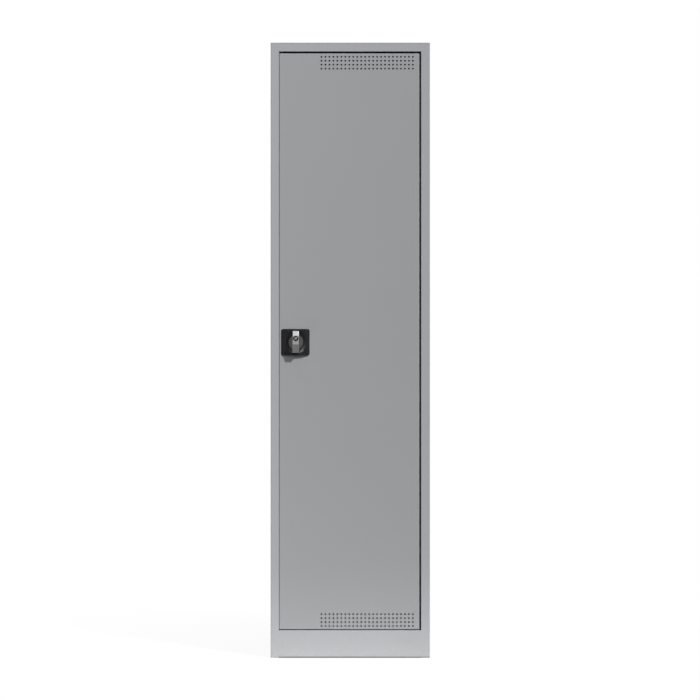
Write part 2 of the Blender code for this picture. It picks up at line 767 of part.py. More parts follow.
def door_stiffener(shop, hinge):
    """A hat section down the inside of the door, between the vent fields."""
    field = VENT_END_MARGIN + (VENT_ROWS - 1) * VENT_PITCH + VENT_DIAMETER / 2 + STIFFENER_END
    middle = (DOOR_LEFT + DOOR_RIGHT) / 2 + STIFFENER_OFFSET - HINGE_X
    crown = STIFFENER_CROWN / 2
    web = crown + STIFFENER_FLARE
    foot = web + STIFFENER_FOOT
    seat = DOOR_SHEET + FIT - HINGE_SETBACK
    top = seat + STIFFENER_DEPTH
    path = [
        (middle - foot, seat),
        (middle - web, seat),
        (middle - crown, top),
        (middle + crown, top),
        (middle + web, seat),
        (middle + foot, seat),
    ]
    fold = DOOR_SHEET + FOLD_INSIDE
    mesh = folded_mesh("door_stiffener", path, "plan", DOOR_BOTTOM + field, DOOR_TOP - field, fold)
    stiffener = shop.part("door_stiffener", mesh, shop.door_paint)
    place(stiffener, hinge)
    thicken(stiffener, DOOR_SHEET)


def lock_rose(shop, seat):
    """The square plastic rose: a finger dish in front and a threaded hub through the door."""
    corner = (ROSE_WIDTH / 2, ROSE_HEIGHT / 2)
    outline = rounded_rectangle((-corner[0], -corner[1]), corner, ROSE_CORNER, 4)
    rose = shop.part("lock_rose", slab_mesh("lock_rose", [outline], ROSE_THICK), shop.black_plastic)
    place(rose, seat, (0, 0, FIT + ROSE_THICK / 2))
    soften(rose, ROSE_EDGE)
    flare, above = DISH_RADIUS + DISH_SLOPE, ROSE_FACE + DISH_DEPTH
    tools = (
        ("rose_hub", HUB_RADIUS, HUB_RADIUS, -HUB_END, FIT + DISH_FLOOR / 2, "UNION"),
        ("rose_dish", DISH_FLOOR_RADIUS, flare, DISH_FLOOR, above, "DIFFERENCE"),
        ("rose_bore", HUB_BORE, HUB_BORE, -2 * HUB_END, ROSE_FACE, "DIFFERENCE"),
    )
    for name, low_radius, high_radius, low, high, operation in tools:
        tool = shop.tool(name, cone_mesh(name, low_radius, high_radius, low, high, ROUND_STEPS))
        place(tool, seat)
        boolean(rose, tool, operation)


def hub_nut(shop, seat):
    """The six-sided nut that draws the rose against the door from inside."""
    bore = HUB_RADIUS + FIT
    corner = (bore + NUT_WALL) / math.cos(math.pi / 6)
    loops = [circle((0, 0), corner, 6), circle((0, 0), bore, ROUND_STEPS)]
    nut = shop.part("hub_nut", slab_mesh("hub_nut", loops, NUT_THICK), shop.zinc_steel)
    place(nut, seat, (0, 0, -DOOR_SHEET - FIT - NUT_THICK / 2))


def turn_grip(shop, handle):
    """The cast grip: a round base with a shaft behind and a sloped bar across the front."""
    base = DISH_FLOOR + GRIP_FLOOR_GAP
    profile = [
        (0, GRIP_DISC_FACE),
        (GRIP_DISC_RADIUS - GRIP_EDGE, GRIP_DISC_FACE),
        (GRIP_DISC_RADIUS, GRIP_DISC_FACE - GRIP_EDGE),
        (GRIP_DISC_RADIUS, base),
        (SHAFT_RADIUS, base),
        (SHAFT_RADIUS, -SHAFT_END),
        (0, -SHAFT_END),
    ]
    grip = shop.part("turn_grip", turned_mesh("turn_grip", profile), shop.satin_metal)
    spin(grip, ROUND_STEPS)
    place(grip, handle)

    end = GRIP_LENGTH / 2
    outline = [
        (end, GRIP_UNDERSIDE),
        (end, GRIP_TOP_FACE),
        (end - GRIP_TOP_SLOPE, GRIP_FACE),
        (GRIP_LOW_SLOPE - end, GRIP_FACE),
        (-end, GRIP_LOW_FACE),
        (-end, GRIP_UNDERSIDE),
    ]
    bar = shop.tool("grip_bar", slab_mesh("grip_bar", [outline], GRIP_WIDTH))
    place(bar, handle, (0, 0, 0), (math.pi / 2, 0, math.pi / 2))
    soften(bar, GRIP_EDGE)
    boolean(grip, bar, "UNION")

    bore = CYLINDER_RADIUS + RUNNING
    floor = GRIP_FACE + CYLINDER_PROUD - CYLINDER_LENGTH - FIT
    bore_mesh = cone_mesh("cylinder_bore", bore, bore, floor, 2 * GRIP_FACE, ROUND_STEPS)
    cylinder_bore = shop.tool("cylinder_bore", bore_mesh)
    place(cylinder_bore, handle, (0, CYLINDER_OFFSET, 0))
    boolean(grip, cylinder_bore, "DIFFERENCE")

    half = SPINDLE_SIDE / 2 + FIT
    low, high = (-half, -half, -2 * SHAFT_END), (half, half, SPINDLE_SOCKET - SHAFT_END)
    socket = shop.tool("spindle_socket", box_mesh("spindle_socket", low, high))
    place(socket, handle)
    boolean(grip, socket, "DIFFERENCE")


def lock_cylinder(shop, handle):
    """The key cylinder in the upper half of the grip, with its origin on its own axis."""
    face = GRIP_FACE + CYLINDER_PROUD
    profile = [
        (0, face),
        (CYLINDER_RADIUS - CYLINDER_CHAMFER, face),
        (CYLINDER_RADIUS, face - CYLINDER_CHAMFER),
        (CYLINDER_RADIUS, face - CYLINDER_LENGTH),
        (0, face - CYLINDER_LENGTH),
    ]
    cylinder = shop.part("lock_cylinder", turned_mesh("lock_cylinder", profile), shop.satin_metal)
    spin(cylinder, ROUND_STEPS)
    place(cylinder, handle, (0, CYLINDER_OFFSET, 0))
    low = (-KEYWAY_WIDTH / 2, -KEYWAY_LENGTH / 2, face - KEYWAY_DEPTH)
    high = (KEYWAY_WIDTH / 2, KEYWAY_LENGTH / 2, face + KEYWAY_DEPTH)
    keyway = shop.tool("keyway", box_mesh("keyway", low, high))
    place(keyway, handle, (0, CYLINDER_OFFSET, 0))
    boolean(cylinder, keyway, "DIFFERENCE")


def drive_spindle(shop, handle):
    """The square bar from the grip's shaft to the cam, tapped at its end."""
    half = SPINDLE_SIDE / 2
    top = SPINDLE_SOCKET - SHAFT_END - FIT
    mesh = box_mesh("drive_spindle", (-half, -half, -CAM_BACK), (half, half, top))
    spindle = shop.part("drive_spindle", mesh, shop.zinc_steel)
    place(spindle, handle)
    radius = CAM_SCREW_SHANK + FIT
    low, high = -2 * CAM_BACK, CAM_SCREW_LENGTH + FIT - CAM_BACK
    mesh = cone_mesh("spindle_tapping", radius, radius, low, high, CRANK_STEPS)
    hole = shop.tool("spindle_tapping", mesh)
    place(hole, handle)
    boolean(spindle, hole, "DIFFERENCE")


def cam_plate(shop, handle):
    """The cam: a disc with a tongue, hanging down while the lock is open."""
    half = TONGUE_WIDTH / 2
    spread = math.asin(half / CAM_RADIUS)
    down = -math.pi / 2
    disc = arc((0, 0), CAM_RADIUS, down + spread, down + 2 * math.pi - spread, ROUND_STEPS)
    tip = -TONGUE_REACH + TONGUE_CORNER
    in_x = half - TONGUE_CORNER
    left_corner = arc((-in_x, tip), TONGUE_CORNER, math.pi, 1.5 * math.pi, 3)
    right_corner = arc((in_x, tip), TONGUE_CORNER, 1.5 * math.pi, 2 * math.pi, 3)
    loops = [disc + left_corner + right_corner, square(SPINDLE_SIDE + 2 * FIT)]
    for x, y in crank_pins().values():
        loops.append(circle((x, y), CRANK_TAIL_RADIUS + FIT, CRANK_STEPS))
    cam = shop.part("cam_plate", slab_mesh("cam_plate", loops, CAM_THICK), shop.zinc_steel)
    place(cam, handle, (0, 0, -CAM_FACE - CAM_THICK / 2))


def crank_pins():
    """Where the two crank pins stand on the cam while the lock is open."""
    return {"upper": (-CRANK_IN, -CRANK_RISE), "lower": (CRANK_IN, CRANK_RISE)}


def crank_pin(shop, handle, which, at):
    """A pin riveted through the cam that works in a lock rod's slot."""
    name = f"{which}_crank_pin"
    front = ROD_CLEAR / 2 - ROD_FACE
    head = -CAM_BACK - FIT
    profile = [
        (0, front),
        (CRANK_PIN_RADIUS, front),
        (CRANK_PIN_RADIUS, FIT - CAM_FACE),
        (CRANK_TAIL_RADIUS, FIT - CAM_FACE),
        (CRANK_TAIL_RADIUS, head),
        (CRANK_PIN_RADIUS, head),
        (CRANK_PIN_RADIUS, head - CRANK_RIVET),
        (0, head - CRANK_RIVET),
    ]
    pin = shop.part(name, turned_mesh(name, profile), shop.zinc_steel)
    spin(pin, CRANK_STEPS)
    place(pin, handle, (*at, 0))


def cam_screw(shop, handle):
    """The screw that holds the cam on the spindle."""
    head = -CAM_BACK - FIT
    profile = [
        (0, CAM_SCREW_LENGTH - CAM_BACK),
        (CAM_SCREW_SHANK, CAM_SCREW_LENGTH - CAM_BACK),
        (CAM_SCREW_SHANK, head),
        (CAM_SCREW_RADIUS, head),
        (CAM_SCREW_RADIUS, head - CAM_SCREW_HEAD / 2),
        (CAM_SCREW_RADIUS / 2, head - CAM_SCREW_HEAD),
        (0, head - CAM_SCREW_HEAD),
    ]
    screw = shop.part("cam_screw", turned_mesh("cam_screw", profile), shop.zinc_steel)
    spin(screw, CRANK_STEPS)
    place(screw, handle)


def lock_rod(shop, seat, which, up, length):
    """A flat rod with a cross slot at the cam and a pointed tip at the door's edge.

    It is drawn upwards from the lock axis, then turned over for the lower one."""
    pin_y = -CRANK_RISE
    foot = pin_y - SLOT_HALF - ROD_METAL
    left, right = -ROD_X - ROD_WIDTH / 2, -ROD_X + ROD_WIDTH / 2
    outline = [
        (left, foot),
        (right, foot),
        (right, length - ROD_TIP),
        (right - ROD_TIP, length),
        (left + ROD_TIP, length),
        (left, length - ROD_TIP),
    ]
    low, high = (-SLOT_OUT, pin_y - SLOT_HALF), (-SLOT_IN, pin_y + SLOT_HALF)
    slot = rounded_rectangle(low, high, CRANK_PIN_RADIUS, 3)
    name = f"{which}_lock_rod"
    rod = shop.part(name, slab_mesh(name, [outline, slot], ROD_THICK), shop.zinc_steel)
    turn = 0 if up > 0 else math.pi
    place(rod, seat, (0, 0, -ROD_FACE - ROD_THICK / 2), (0, 0, turn))


def rod_guide(shop, seat, name, x, y):
    """A moulded block on the inside of the door that a lock rod slides through."""
    half_x = ROD_WIDTH / 2 + GUIDE_WALL
    half_y = GUIDE_TALL / 2
    low = (-half_x, -half_y, -ROD_BACK - GUIDE_BACK)
    high = (half_x, half_y, -DOOR_SHEET - FIT)
    guide = shop.part(name, box_mesh(name, low, high), shop.nylon)
    place(guide, seat, (x, y, 0))
    soften(guide, GUIDE_EDGE, 1)
    play_x = ROD_WIDTH / 2 + ROD_SIDE_PLAY
    low = (-play_x, -GUIDE_TALL, -ROD_BACK - ROD_SIDE_PLAY)
    high = (play_x, GUIDE_TALL, ROD_SIDE_PLAY - ROD_FACE)
    passage = shop.tool(f"{name}_passage", box_mesh(f"{name}_passage", low, high))
    place(passage, seat, (x, y, 0))
    boolean(guide, passage, "DIFFERENCE")


def door_stop(shop, name, height):
    """A rubber stop on the lock-side lip, just behind the shut door."""
    rim = [(STOP_RADIUS * out, STOP_THICK * up) for out, up in STOP_ROUNDING]
    profile = [(0, STOP_THICK), *rim, (STOP_RADIUS, 0), (0, 0)]
    stop = shop.part(name, turned_mesh(name, profile), shop.rubber)
    spin(stop, ROUND_STEPS // 2)
    lip_middle = OPENING_LEFT + (FOLD_OUTSIDE + STOP_LIP) / 2
    place(stop, None, (lip_middle, FRONT + STOP_SETBACK - FIT, height), (math.pi / 2, 0, 0))


def carcass(shop):
    for word, side in SIDES.items():
        side_panel(shop, f"{word}_side_panel", side)
    back_panel(shop)
    top_panel(shop)
    header = header_rail(shop)
    plinth = plinth_rail(shop)
    pin_hole(shop, header, HEADER_BOTTOM)
    pin_hole(shop, plinth, PLINTH_HEIGHT)
    hinge_pin(shop, "top_hinge_pin", HEADER_BOTTOM, -1, DOOR_TOP)
    hinge_pin(shop, "bottom_hinge_pin", PLINTH_HEIGHT, 1, DOOR_BOTTOM)
    floor_panel(shop)
    door_stop(shop, "upper_door_stop", LOCK_HEIGHT + STOP_SPACING / 2)
    door_stop(shop, "lower_door_stop", LOCK_HEIGHT - STOP_SPACING / 2)
    for word, side in SIDES.items():
        for row_word, row in UPRIGHT_ROWS.items():
            upright(shop, f"{row_word}_{word}_upright", side, row)
            for index in range(TRAY_COUNT):
                name = f"{row_word}_{word}_clip_{index + 1}"
                shelf_clip(shop, name, side, row, tray_slot(index))


def trays(shop):
    tray(shop, "sump_tray", SUMP_WALL, PLINTH_HEIGHT + FIT)
    for index in range(TRAY_COUNT):
        tray(shop, f"spill_tray_{index + 1}", TRAY_WALL, clip_top(tray_slot(index)) + FIT)


def door(shop):
    hinge = pivot(shop, "door_pivot", (HINGE_X, HINGE_Y, 0))
    door_skin(shop, hinge)
    door_stiffener(shop, hinge)
    hinge_bush(shop, "top_hinge_bush", hinge, DOOR_TOP, 1, BUSH_COLLAR)
    hinge_bush(shop, "bottom_hinge_bush", hinge, DOOR_BOTTOM, -1, GAP_BOTTOM - 2 * FIT)
    lock_spot = (LOCK_X - HINGE_X, FRONT - HINGE_Y, LOCK_HEIGHT)
    # The lock is drawn as seen from the front: X to the right, Y up and Z out of the door
    seat = pivot(shop, "lock_seat", lock_spot, (math.pi / 2, 0, 0), hinge)
    lock_rose(shop, seat)
    hub_nut(shop, seat)
    above = DOOR_TOP - LOCK_HEIGHT
    below = LOCK_HEIGHT - DOOR_BOTTOM
    lock_rod(shop, seat, "upper", 1, above - ROD_SHORT)
    lock_rod(shop, seat, "lower", -1, below - ROD_SHORT)
    rod_guide(shop, seat, "upper_rod_guide_near", -ROD_X, GUIDE_FROM_LOCK)
    rod_guide(shop, seat, "upper_rod_guide_far", -ROD_X, above - GUIDE_FROM_END)
    rod_guide(shop, seat, "lower_rod_guide_near", ROD_X, -GUIDE_FROM_LOCK)
    rod_guide(shop, seat, "lower_rod_guide_far", ROD_X, GUIDE_FROM_END - below)
    return pivot(shop, "handle_pivot", (0, 0, 0), (0, 0, 0), seat)


def handle(shop, axis):
    turn_grip(shop, axis)
    lock_cylinder(shop, axis)
    drive_spindle(shop, axis)
    cam_plate(shop, axis)
    cam_screw(shop, axis)
    for which, at in crank_pins().items():
        crank_pin(shop, axis, which, at)


def main():
    for obj in list(bpy.data.objects):
        bpy.data.objects.remove(obj)
    shop = Workshop()
    carcass(shop)
    trays(shop)
    handle(shop, door(shop))


if __name__ == "__main__":
    main()
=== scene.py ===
import json
import math

import bmesh
import bpy
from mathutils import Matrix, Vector


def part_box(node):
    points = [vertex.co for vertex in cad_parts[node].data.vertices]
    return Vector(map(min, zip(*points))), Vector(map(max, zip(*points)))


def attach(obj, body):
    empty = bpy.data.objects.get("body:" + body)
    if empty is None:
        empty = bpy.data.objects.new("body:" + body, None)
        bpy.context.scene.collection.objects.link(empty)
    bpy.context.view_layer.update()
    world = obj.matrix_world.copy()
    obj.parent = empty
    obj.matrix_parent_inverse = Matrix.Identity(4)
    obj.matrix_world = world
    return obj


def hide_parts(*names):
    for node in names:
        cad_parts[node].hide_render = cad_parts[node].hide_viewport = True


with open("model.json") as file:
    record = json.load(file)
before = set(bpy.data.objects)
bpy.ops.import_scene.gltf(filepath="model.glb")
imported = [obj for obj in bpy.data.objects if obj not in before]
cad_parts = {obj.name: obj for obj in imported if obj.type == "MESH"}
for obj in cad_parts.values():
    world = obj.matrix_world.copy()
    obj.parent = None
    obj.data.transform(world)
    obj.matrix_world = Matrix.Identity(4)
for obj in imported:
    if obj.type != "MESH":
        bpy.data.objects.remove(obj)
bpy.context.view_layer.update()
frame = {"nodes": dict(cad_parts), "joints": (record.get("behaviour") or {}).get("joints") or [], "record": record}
nodes = frame["nodes"]
print("frame loaded,", len(nodes), "solids")

# Places that the pieces share, read off the frame
doorLow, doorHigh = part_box("door_skin")
roseLow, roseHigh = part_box("lock_rose")
doorFront = doorLow.y
lockX = (roseLow.x + roseHigh.x) / 2
lockZ = (roseLow.z + roseHigh.z) / 2
hingePlace = next(j["pos_m"] for j in frame["joints"] if j["name"] == "door_hinge")
outward = Vector((0, -1, 0))  # out of the door, towards the viewer
toFront = (math.pi / 2, 0, 0)  # turns what lies flat so that it faces the viewer
seam = 0.0003  # gap between pieces that touch
nothing = 1e-5  # a length that counts as none
square = 0.9  # from here on a direction counts as along its axis


def lockPlace(out=0.0, up=0.0):  # measured from where the lock's axis meets the door
    return Vector((lockX, doorFront - out, lockZ + up))


# Modelling helpers
def leaveEdit():
    bpy.ops.object.mode_set(mode="OBJECT")


def clearSelection():
    if bpy.context.object and bpy.context.object.mode != "OBJECT":
        leaveEdit()
    bpy.ops.object.select_all(action="DESELECT")


def makeActive(piece):
    clearSelection()
    piece.select_set(True)
    bpy.context.view_layer.objects.active = piece


def settle(piece):  # place, turn and size go into the mesh
    makeActive(piece)
    bpy.ops.object.transform_apply(location=True, rotation=True, scale=True)


def choose(piece, kind, test=lambda item: True):  # into edit mode, with what passes the test selected
    makeActive(piece)
    bpy.ops.object.mode_set(mode="EDIT")
    bpy.ops.mesh.select_mode(type=kind)
    bpy.ops.mesh.select_all(action="DESELECT")
    mesh = bmesh.from_edit_mesh(piece.data)
    for item in mesh.faces if kind == "FACE" else mesh.edges:
        if test(item):
            item.select_set(True)
    mesh.select_flush_mode()
    bmesh.update_edit_mesh(piece.data)


def pull(move):  # extrudes what is selected
    bpy.ops.mesh.extrude_region_move(TRANSFORM_OT_translate={"value": move})


def startBox(name, low, high):
    clearSelection()
    low, high = Vector(low), Vector(high)
    bpy.ops.mesh.primitive_cube_add(size=1, location=(low + high) / 2)
    piece = bpy.context.object
    piece.name = name
    piece.scale = high - low
    settle(piece)
    return piece


def lockBox(name, half, outer, inner, down, up):  # a box that is even about the lock's middle plane
    return startBox(
        name, (lockX - half, doorFront - outer, lockZ - down),
        (lockX + half, doorFront - inner, lockZ + up))


def startRound(name, place, radius, depth, steps, tilt=(0, 0, 0)):
    clearSelection()
    bpy.ops.mesh.primitive_cylinder_add(
        vertices=steps, radius=radius, depth=depth, location=place, rotation=tilt)
    piece = bpy.context.object
    piece.name = name
    settle(piece)
    return piece


def startSheet(name, low, high):  # an upright plane between two corners
    clearSelection()
    low, high = Vector(low), Vector(high)
    size = high - low
    sideways = size.x < nothing
    turn = (0, math.pi / 2, 0) if sideways else toFront
    bpy.ops.mesh.primitive_plane_add(size=1, location=(low + high) / 2, rotation=turn)
    piece = bpy.context.object
    piece.name = name
    piece.scale = (size.z, size.y, 1) if sideways else (size.x, size.z, 1)
    settle(piece)
    return piece


def turnShape(name, centre, profile, steps=48):  # a round face drawn out through each (radius, out)
    clearSelection()
    centre = Vector(centre)
    radius, out = profile[0]
    bpy.ops.mesh.primitive_circle_add(
        vertices=steps, radius=radius, fill_type="NGON", rotation=toFront,
        location=centre + outward * out)
    piece = bpy.context.object
    piece.name = name
    settle(piece)
    choose(piece, "FACE")
    for nextRadius, nextOut in profile[1:]:
        pull(outward * (nextOut - out))
        if nextRadius != radius:
            bpy.ops.transform.resize(
                value=(nextRadius / radius,) * 3, center_override=centre + outward * nextOut)
        radius, out = nextRadius, nextOut
    bpy.ops.mesh.select_all(action="SELECT")
    bpy.ops.mesh.normals_make_consistent(inside=False)
    leaveEdit()
    return piece


def foldOut(piece, axis, place, moves):  # folds on from the edge that lies at a place along an axis
    choose(piece, "EDGE", lambda edge: edge.is_boundary and all(
        abs(v.co[axis] - place) < nothing for v in edge.verts))
    for move in moves:
        pull(move)
    leaveEdit()


def faceOut(piece, way):  # normals of an open sheet, so that its first face looks that way
    choose(piece, "FACE")
    bpy.ops.mesh.normals_make_consistent(inside=False)
    mesh = bmesh.from_edit_mesh(piece.data)
    mesh.faces.ensure_lookup_table()
    if mesh.faces[0].normal.dot(Vector(way)) < 0:
        bpy.ops.mesh.flip_normals()
    leaveEdit()


def roundCorners(piece, axis, width, steps):  # only the edges that run along one axis
    choose(piece, "EDGE", lambda edge: abs(
        (edge.verts[1].co - edge.verts[0].co).normalized()[axis]) > square)
    bpy.ops.mesh.bevel(offset=width, segments=steps, affect="EDGES")
    leaveEdit()


def modify(piece, kind, **settings):  # adds one modifier and applies it
    step = piece.modifiers.new(kind.lower(), kind)
    for label, value in settings.items():
        setattr(step, label, value)
    makeActive(piece)
    bpy.ops.object.modifier_apply(modifier=step.name)


def carve(piece, tool, operation="DIFFERENCE"):
    modify(piece, "BOOLEAN", operation=operation, solver="EXACT", object=tool)
    bpy.data.objects.remove(tool)


def foldEdges(piece, width, steps, angle=30):
    modify(
        piece, "BEVEL", width=width, segments=steps, limit_method="ANGLE",
        angle_limit=math.radians(angle))


def foldSheet(piece, metal):  # round folds, then the sheet's thickness
    foldEdges(piece, metal["fold"], metal["foldSteps"])
    modify(piece, "SOLIDIFY", thickness=metal["sheet"], offset=-1, use_even_offset=True)


def repeatShape(piece, count, step):
    modify(
        piece, "ARRAY", count=count, use_relative_offset=False, use_constant_offset=True,
        constant_offset_displace=step)


def smooth(piece, angle=32):  # soft bends that leave the flat faces flat
    makeActive(piece)
    bpy.ops.object.shade_smooth_by_angle(angle=math.radians(angle))
    modify(piece, "WEIGHTED_NORMAL", weight=100, keep_sharp=True)


def pieceName(node):  # spill_tray_1 gives spillTray1
    first, *others = node.split("_")
    return first + "".join(word.title() for word in others)


def fitPiece(piece, body, node, finish):
    piece.data.materials.clear()
    piece.data.materials.append(finish)
    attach(piece, body)
    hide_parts(node)


def addFinish(piece, finish, test):  # a second finish, where a face's centre passes the test
    piece.data.materials.append(finish)
    for face in piece.data.polygons:
        if test(face.center):
            face.material_index = 1


# Shader helpers
noiseSpan = (0.3, 0.7)  # nearly all values of a noise lie in here


def opaque(colour):
    return (*colour, 1) if isinstance(colour, tuple) else colour


def addNode(tree, kind, inputs=(), **settings):  # inputs are plain values or outputs of other nodes
    step = tree.nodes.new("ShaderNode" + kind)
    for label, value in settings.items():
        setattr(step, label, value)
    for label, value in dict(inputs).items():
        if isinstance(value, bpy.types.NodeSocket):
            tree.links.new(value, step.inputs[label])
        else:
            step.inputs[label].default_value = value
    return step


def noiseNode(tree, place, scale, detail=2.0, roughness=0.5):
    inputs = {"Vector": place, "Scale": scale, "Detail": detail, "Roughness": roughness}
    return addNode(tree, "TexNoise", inputs).outputs["Fac"]


def rangeNode(tree, value, low, high, start=0.0, end=1.0):
    inputs = {"Value": value, "From Min": start, "From Max": end, "To Min": low, "To Max": high}
    return addNode(tree, "MapRange", inputs).outputs["Result"]


def mathNode(tree, operation, first, second=0.0):
    return addNode(tree, "Math", {0: first, 1: second}, operation=operation).outputs[0]


def swingNode(tree, noise, amount):  # a noise that swings about nought
    return mathNode(tree, "MULTIPLY", mathNode(tree, "SUBTRACT", noise, 0.5), amount)


def splitNode(tree, vector):
    return addNode(tree, "SeparateXYZ", {0: vector}).outputs


def tintNode(tree, colour, factor):  # colour times a grey factor
    return addNode(tree, "VectorMath", {0: colour, "Scale": factor}, operation="SCALE").outputs["Vector"]


def mixNode(tree, factor, first, second):
    inputs = {"Factor": factor, "A": opaque(first), "B": opaque(second)}
    return addNode(tree, "Mix", inputs, data_type="RGBA").outputs["Result"]


def shaderMix(tree, factor, first, second):
    return addNode(tree, "MixShader", {0: factor, 1: first.outputs[0], 2: second.outputs[0]})


def freshTree(owner):
    owner.use_nodes = True
    owner.node_tree.nodes.clear()
    return owner.node_tree


# Camera and studio
def addObject(name, data):
    item = bpy.data.objects.new(name, data)
    bpy.context.scene.collection.objects.link(item)
    return item


shot = {"distance": 6.5, "fieldWidth": 2.219, "across": -0.001, "height": 0.9758, "sensor": 36.0}


def setCamera():
    camData = bpy.data.cameras.new("frontCamera")
    camData.sensor_width = shot["sensor"]
    camData.lens = shot["sensor"] * shot["distance"] / shot["fieldWidth"]
    cam = addObject("frontCamera", camData)
    cam.location = (shot["across"], doorFront - shot["distance"], shot["height"])
    cam.rotation_euler = toFront
    bpy.context.scene.camera = cam


lamps = {
    "keyLamp": {
        "kind": "SUN", "place": lockPlace() + Vector((4.16, -4.0, 4.96)), "aim": lockPlace(),
        "power": 3.55, "size": math.radians(4.0)},
    "softLamp": {
        "kind": "AREA", "place": (-1.07, -2.63, 2.50), "aim": lockPlace(),
        "power": 15.0, "size": 1.1},
    "sideLamp": {
        "kind": "AREA", "place": (-1.00, -0.80, 0.32), "aim": (0, doorFront, 0.6),
        "power": 2.2, "size": 0.9},
    "backLamp": {
        "kind": "AREA", "place": (1.5, 3.6, 3.2), "aim": (0, 0, 1.0),
        "power": 70.0, "size": 2.5},
}


def setLamps():
    for name, lamp in lamps.items():
        lampData = bpy.data.lights.new(name, lamp["kind"])
        lampData.energy = lamp["power"]
        setattr(lampData, "angle" if lamp["kind"] == "SUN" else "size", lamp["size"])
        item = addObject(name, lampData)
        item.visible_camera = False
        item.location = lamp["place"]
        way = Vector(lamp["aim"]) - Vector(lamp["place"])
        item.rotation_euler = way.to_track_quat("-Z", "Y").to_euler()


def shownRay(tree, path):  # 1 for rays that show the background, 0 for light on the object
    return mathNode(tree, "MAXIMUM", path["Is Camera Ray"], path["Is Transmission Ray"])


sky = {
    "colour": (0.96, 0.98, 1.0), "strength": (0.09, 0.26), "rise": (-0.02, 0.45),
    "shown": (1.0, 1.0, 1.0),
}


def setWorld():
    world = bpy.data.worlds.new("studioSky")
    bpy.context.scene.world = world
    tree = freshTree(world)
    path = addNode(tree, "LightPath").outputs
    way = splitNode(tree, addNode(tree, "TexCoord").outputs["Generated"])
    rise = rangeNode(tree, way["Z"], *sky["strength"], *sky["rise"])
    glow = addNode(tree, "Background", {"Color": opaque(sky["colour"]), "Strength": rise})
    white = addNode(tree, "Background", {"Color": opaque(sky["shown"])})
    both = shaderMix(tree, shownRay(tree, path), glow, white)
    addNode(tree, "OutputWorld", {"Surface": both.outputs[0]})


ground = {
    "radius": 1.7, "sides": 96, "sink": 0.0006, "shown": (0.95, 0.95, 0.95), "sheen": 0.11,
    "white": (0.94, 1.0), "whiteSpan": (0.35, 1.35), "tone": (0.80, 0.14), "toneSpan": (0.3, 0.9),
    "footMiddle": 0.0155, "footEdge": (0.2440, 0.2475),
}


def setFloor():
    clearSelection()
    bpy.ops.mesh.primitive_circle_add(
        vertices=ground["sides"], radius=ground["radius"], fill_type="NGON",
        location=(0, 0, -ground["sink"]))
    floor = bpy.context.object
    floor.name = "studioFloor"
    paint = bpy.data.materials.new("studioFloor")
    tree = freshTree(paint)
    path = addNode(tree, "LightPath").outputs
    place = addNode(tree, "TexCoord").outputs["Object"]
    away = addNode(tree, "VectorMath", {0: place}, operation="LENGTH").outputs["Value"]
    fade = rangeNode(tree, away, *ground["white"], *ground["whiteSpan"])  # no rim shows
    split = splitNode(tree, place)
    across = mathNode(tree, "ABSOLUTE", split["X"])
    back = mathNode(tree, "ABSOLUTE", mathNode(tree, "SUBTRACT", split["Y"], ground["footMiddle"]))
    beside = rangeNode(tree, mathNode(tree, "MAXIMUM", across, back), 0.0, 1.0, *ground["footEdge"])
    fade = mathNode(tree, "MULTIPLY", fade, beside)  # dark beneath the carcass
    bright = addNode(tree, "BsdfDiffuse", {"Color": opaque(ground["shown"])})
    shown = shaderMix(tree, fade, bright, addNode(tree, "Emission"))
    chalk = addNode(
        tree, "BsdfDiffuse", {"Color": rangeNode(tree, away, *ground["tone"], *ground["toneSpan"])})
    sheen = addNode(tree, "Emission", {"Strength": ground["sheen"]})  # what bright metal mirrors
    lit = shaderMix(tree, path["Is Glossy Ray"], chalk, sheen)
    both = shaderMix(tree, shownRay(tree, path), lit, shown)
    addNode(tree, "OutputMaterial", {"Surface": both.outputs[0]})
    floor.data.materials.append(paint)


# Effects that the finishes share
effects = {}


def startGroup(name, inputs, outputs):  # inputs are (name, kind, value), outputs (name, kind)
    group = bpy.data.node_groups.new(name, "ShaderNodeTree")
    effects[name] = group
    for label, kind, value in inputs:
        socket = group.interface.new_socket(name=label, in_out="INPUT", socket_type="NodeSocket" + kind)
        if value is not None:
            socket.default_value = value
    for label, kind in outputs:
        group.interface.new_socket(name=label, in_out="OUTPUT", socket_type="NodeSocket" + kind)
    return group, group.nodes.new("NodeGroupInput").outputs


def endGroup(group, **results):
    out = group.nodes.new("NodeGroupOutput")
    for label, value in results.items():
        group.links.new(value, out.inputs[label])


powderLook = {"cloudScale": 4.0, "speckScale": 1600.0, "rough": (0.40, 0.56), "speckHeight": 0.35}


def makePowderCoat():  # stoved powder: orange peel, a fine grain and a faint cloudiness
    group, come = startGroup(
        "powderCoat",
        [("Place", "Vector", None), ("Colour", "Color", (0.4, 0.4, 0.4, 1)), ("Cloud", "Float", 0.03),
         ("Grain", "Float", 0.05), ("Peel", "Float", 520.0)],
        [("Colour", "Color"), ("Roughness", "Float"), ("Height", "Float")])
    cloud = noiseNode(group, come["Place"], powderLook["cloudScale"], detail=3.0)
    peel = noiseNode(group, come["Place"], come["Peel"], roughness=0.55)
    speck = noiseNode(group, come["Place"], powderLook["speckScale"], detail=1.0)
    swing = mathNode(
        group, "ADD", swingNode(group, cloud, come["Cloud"]), swingNode(group, speck, come["Grain"]))
    raised = mathNode(group, "MULTIPLY", speck, powderLook["speckHeight"])
    endGroup(
        group,
        Colour=tintNode(group, come["Colour"], mathNode(group, "ADD", swing, 1.0)),
        Roughness=rangeNode(group, peel, *powderLook["rough"], *noiseSpan),
        Height=mathNode(group, "ADD", peel, raised))


sheenLook = {"whole": 0.25, "blotScale": 22.0, "blots": (0.42, 0.72)}


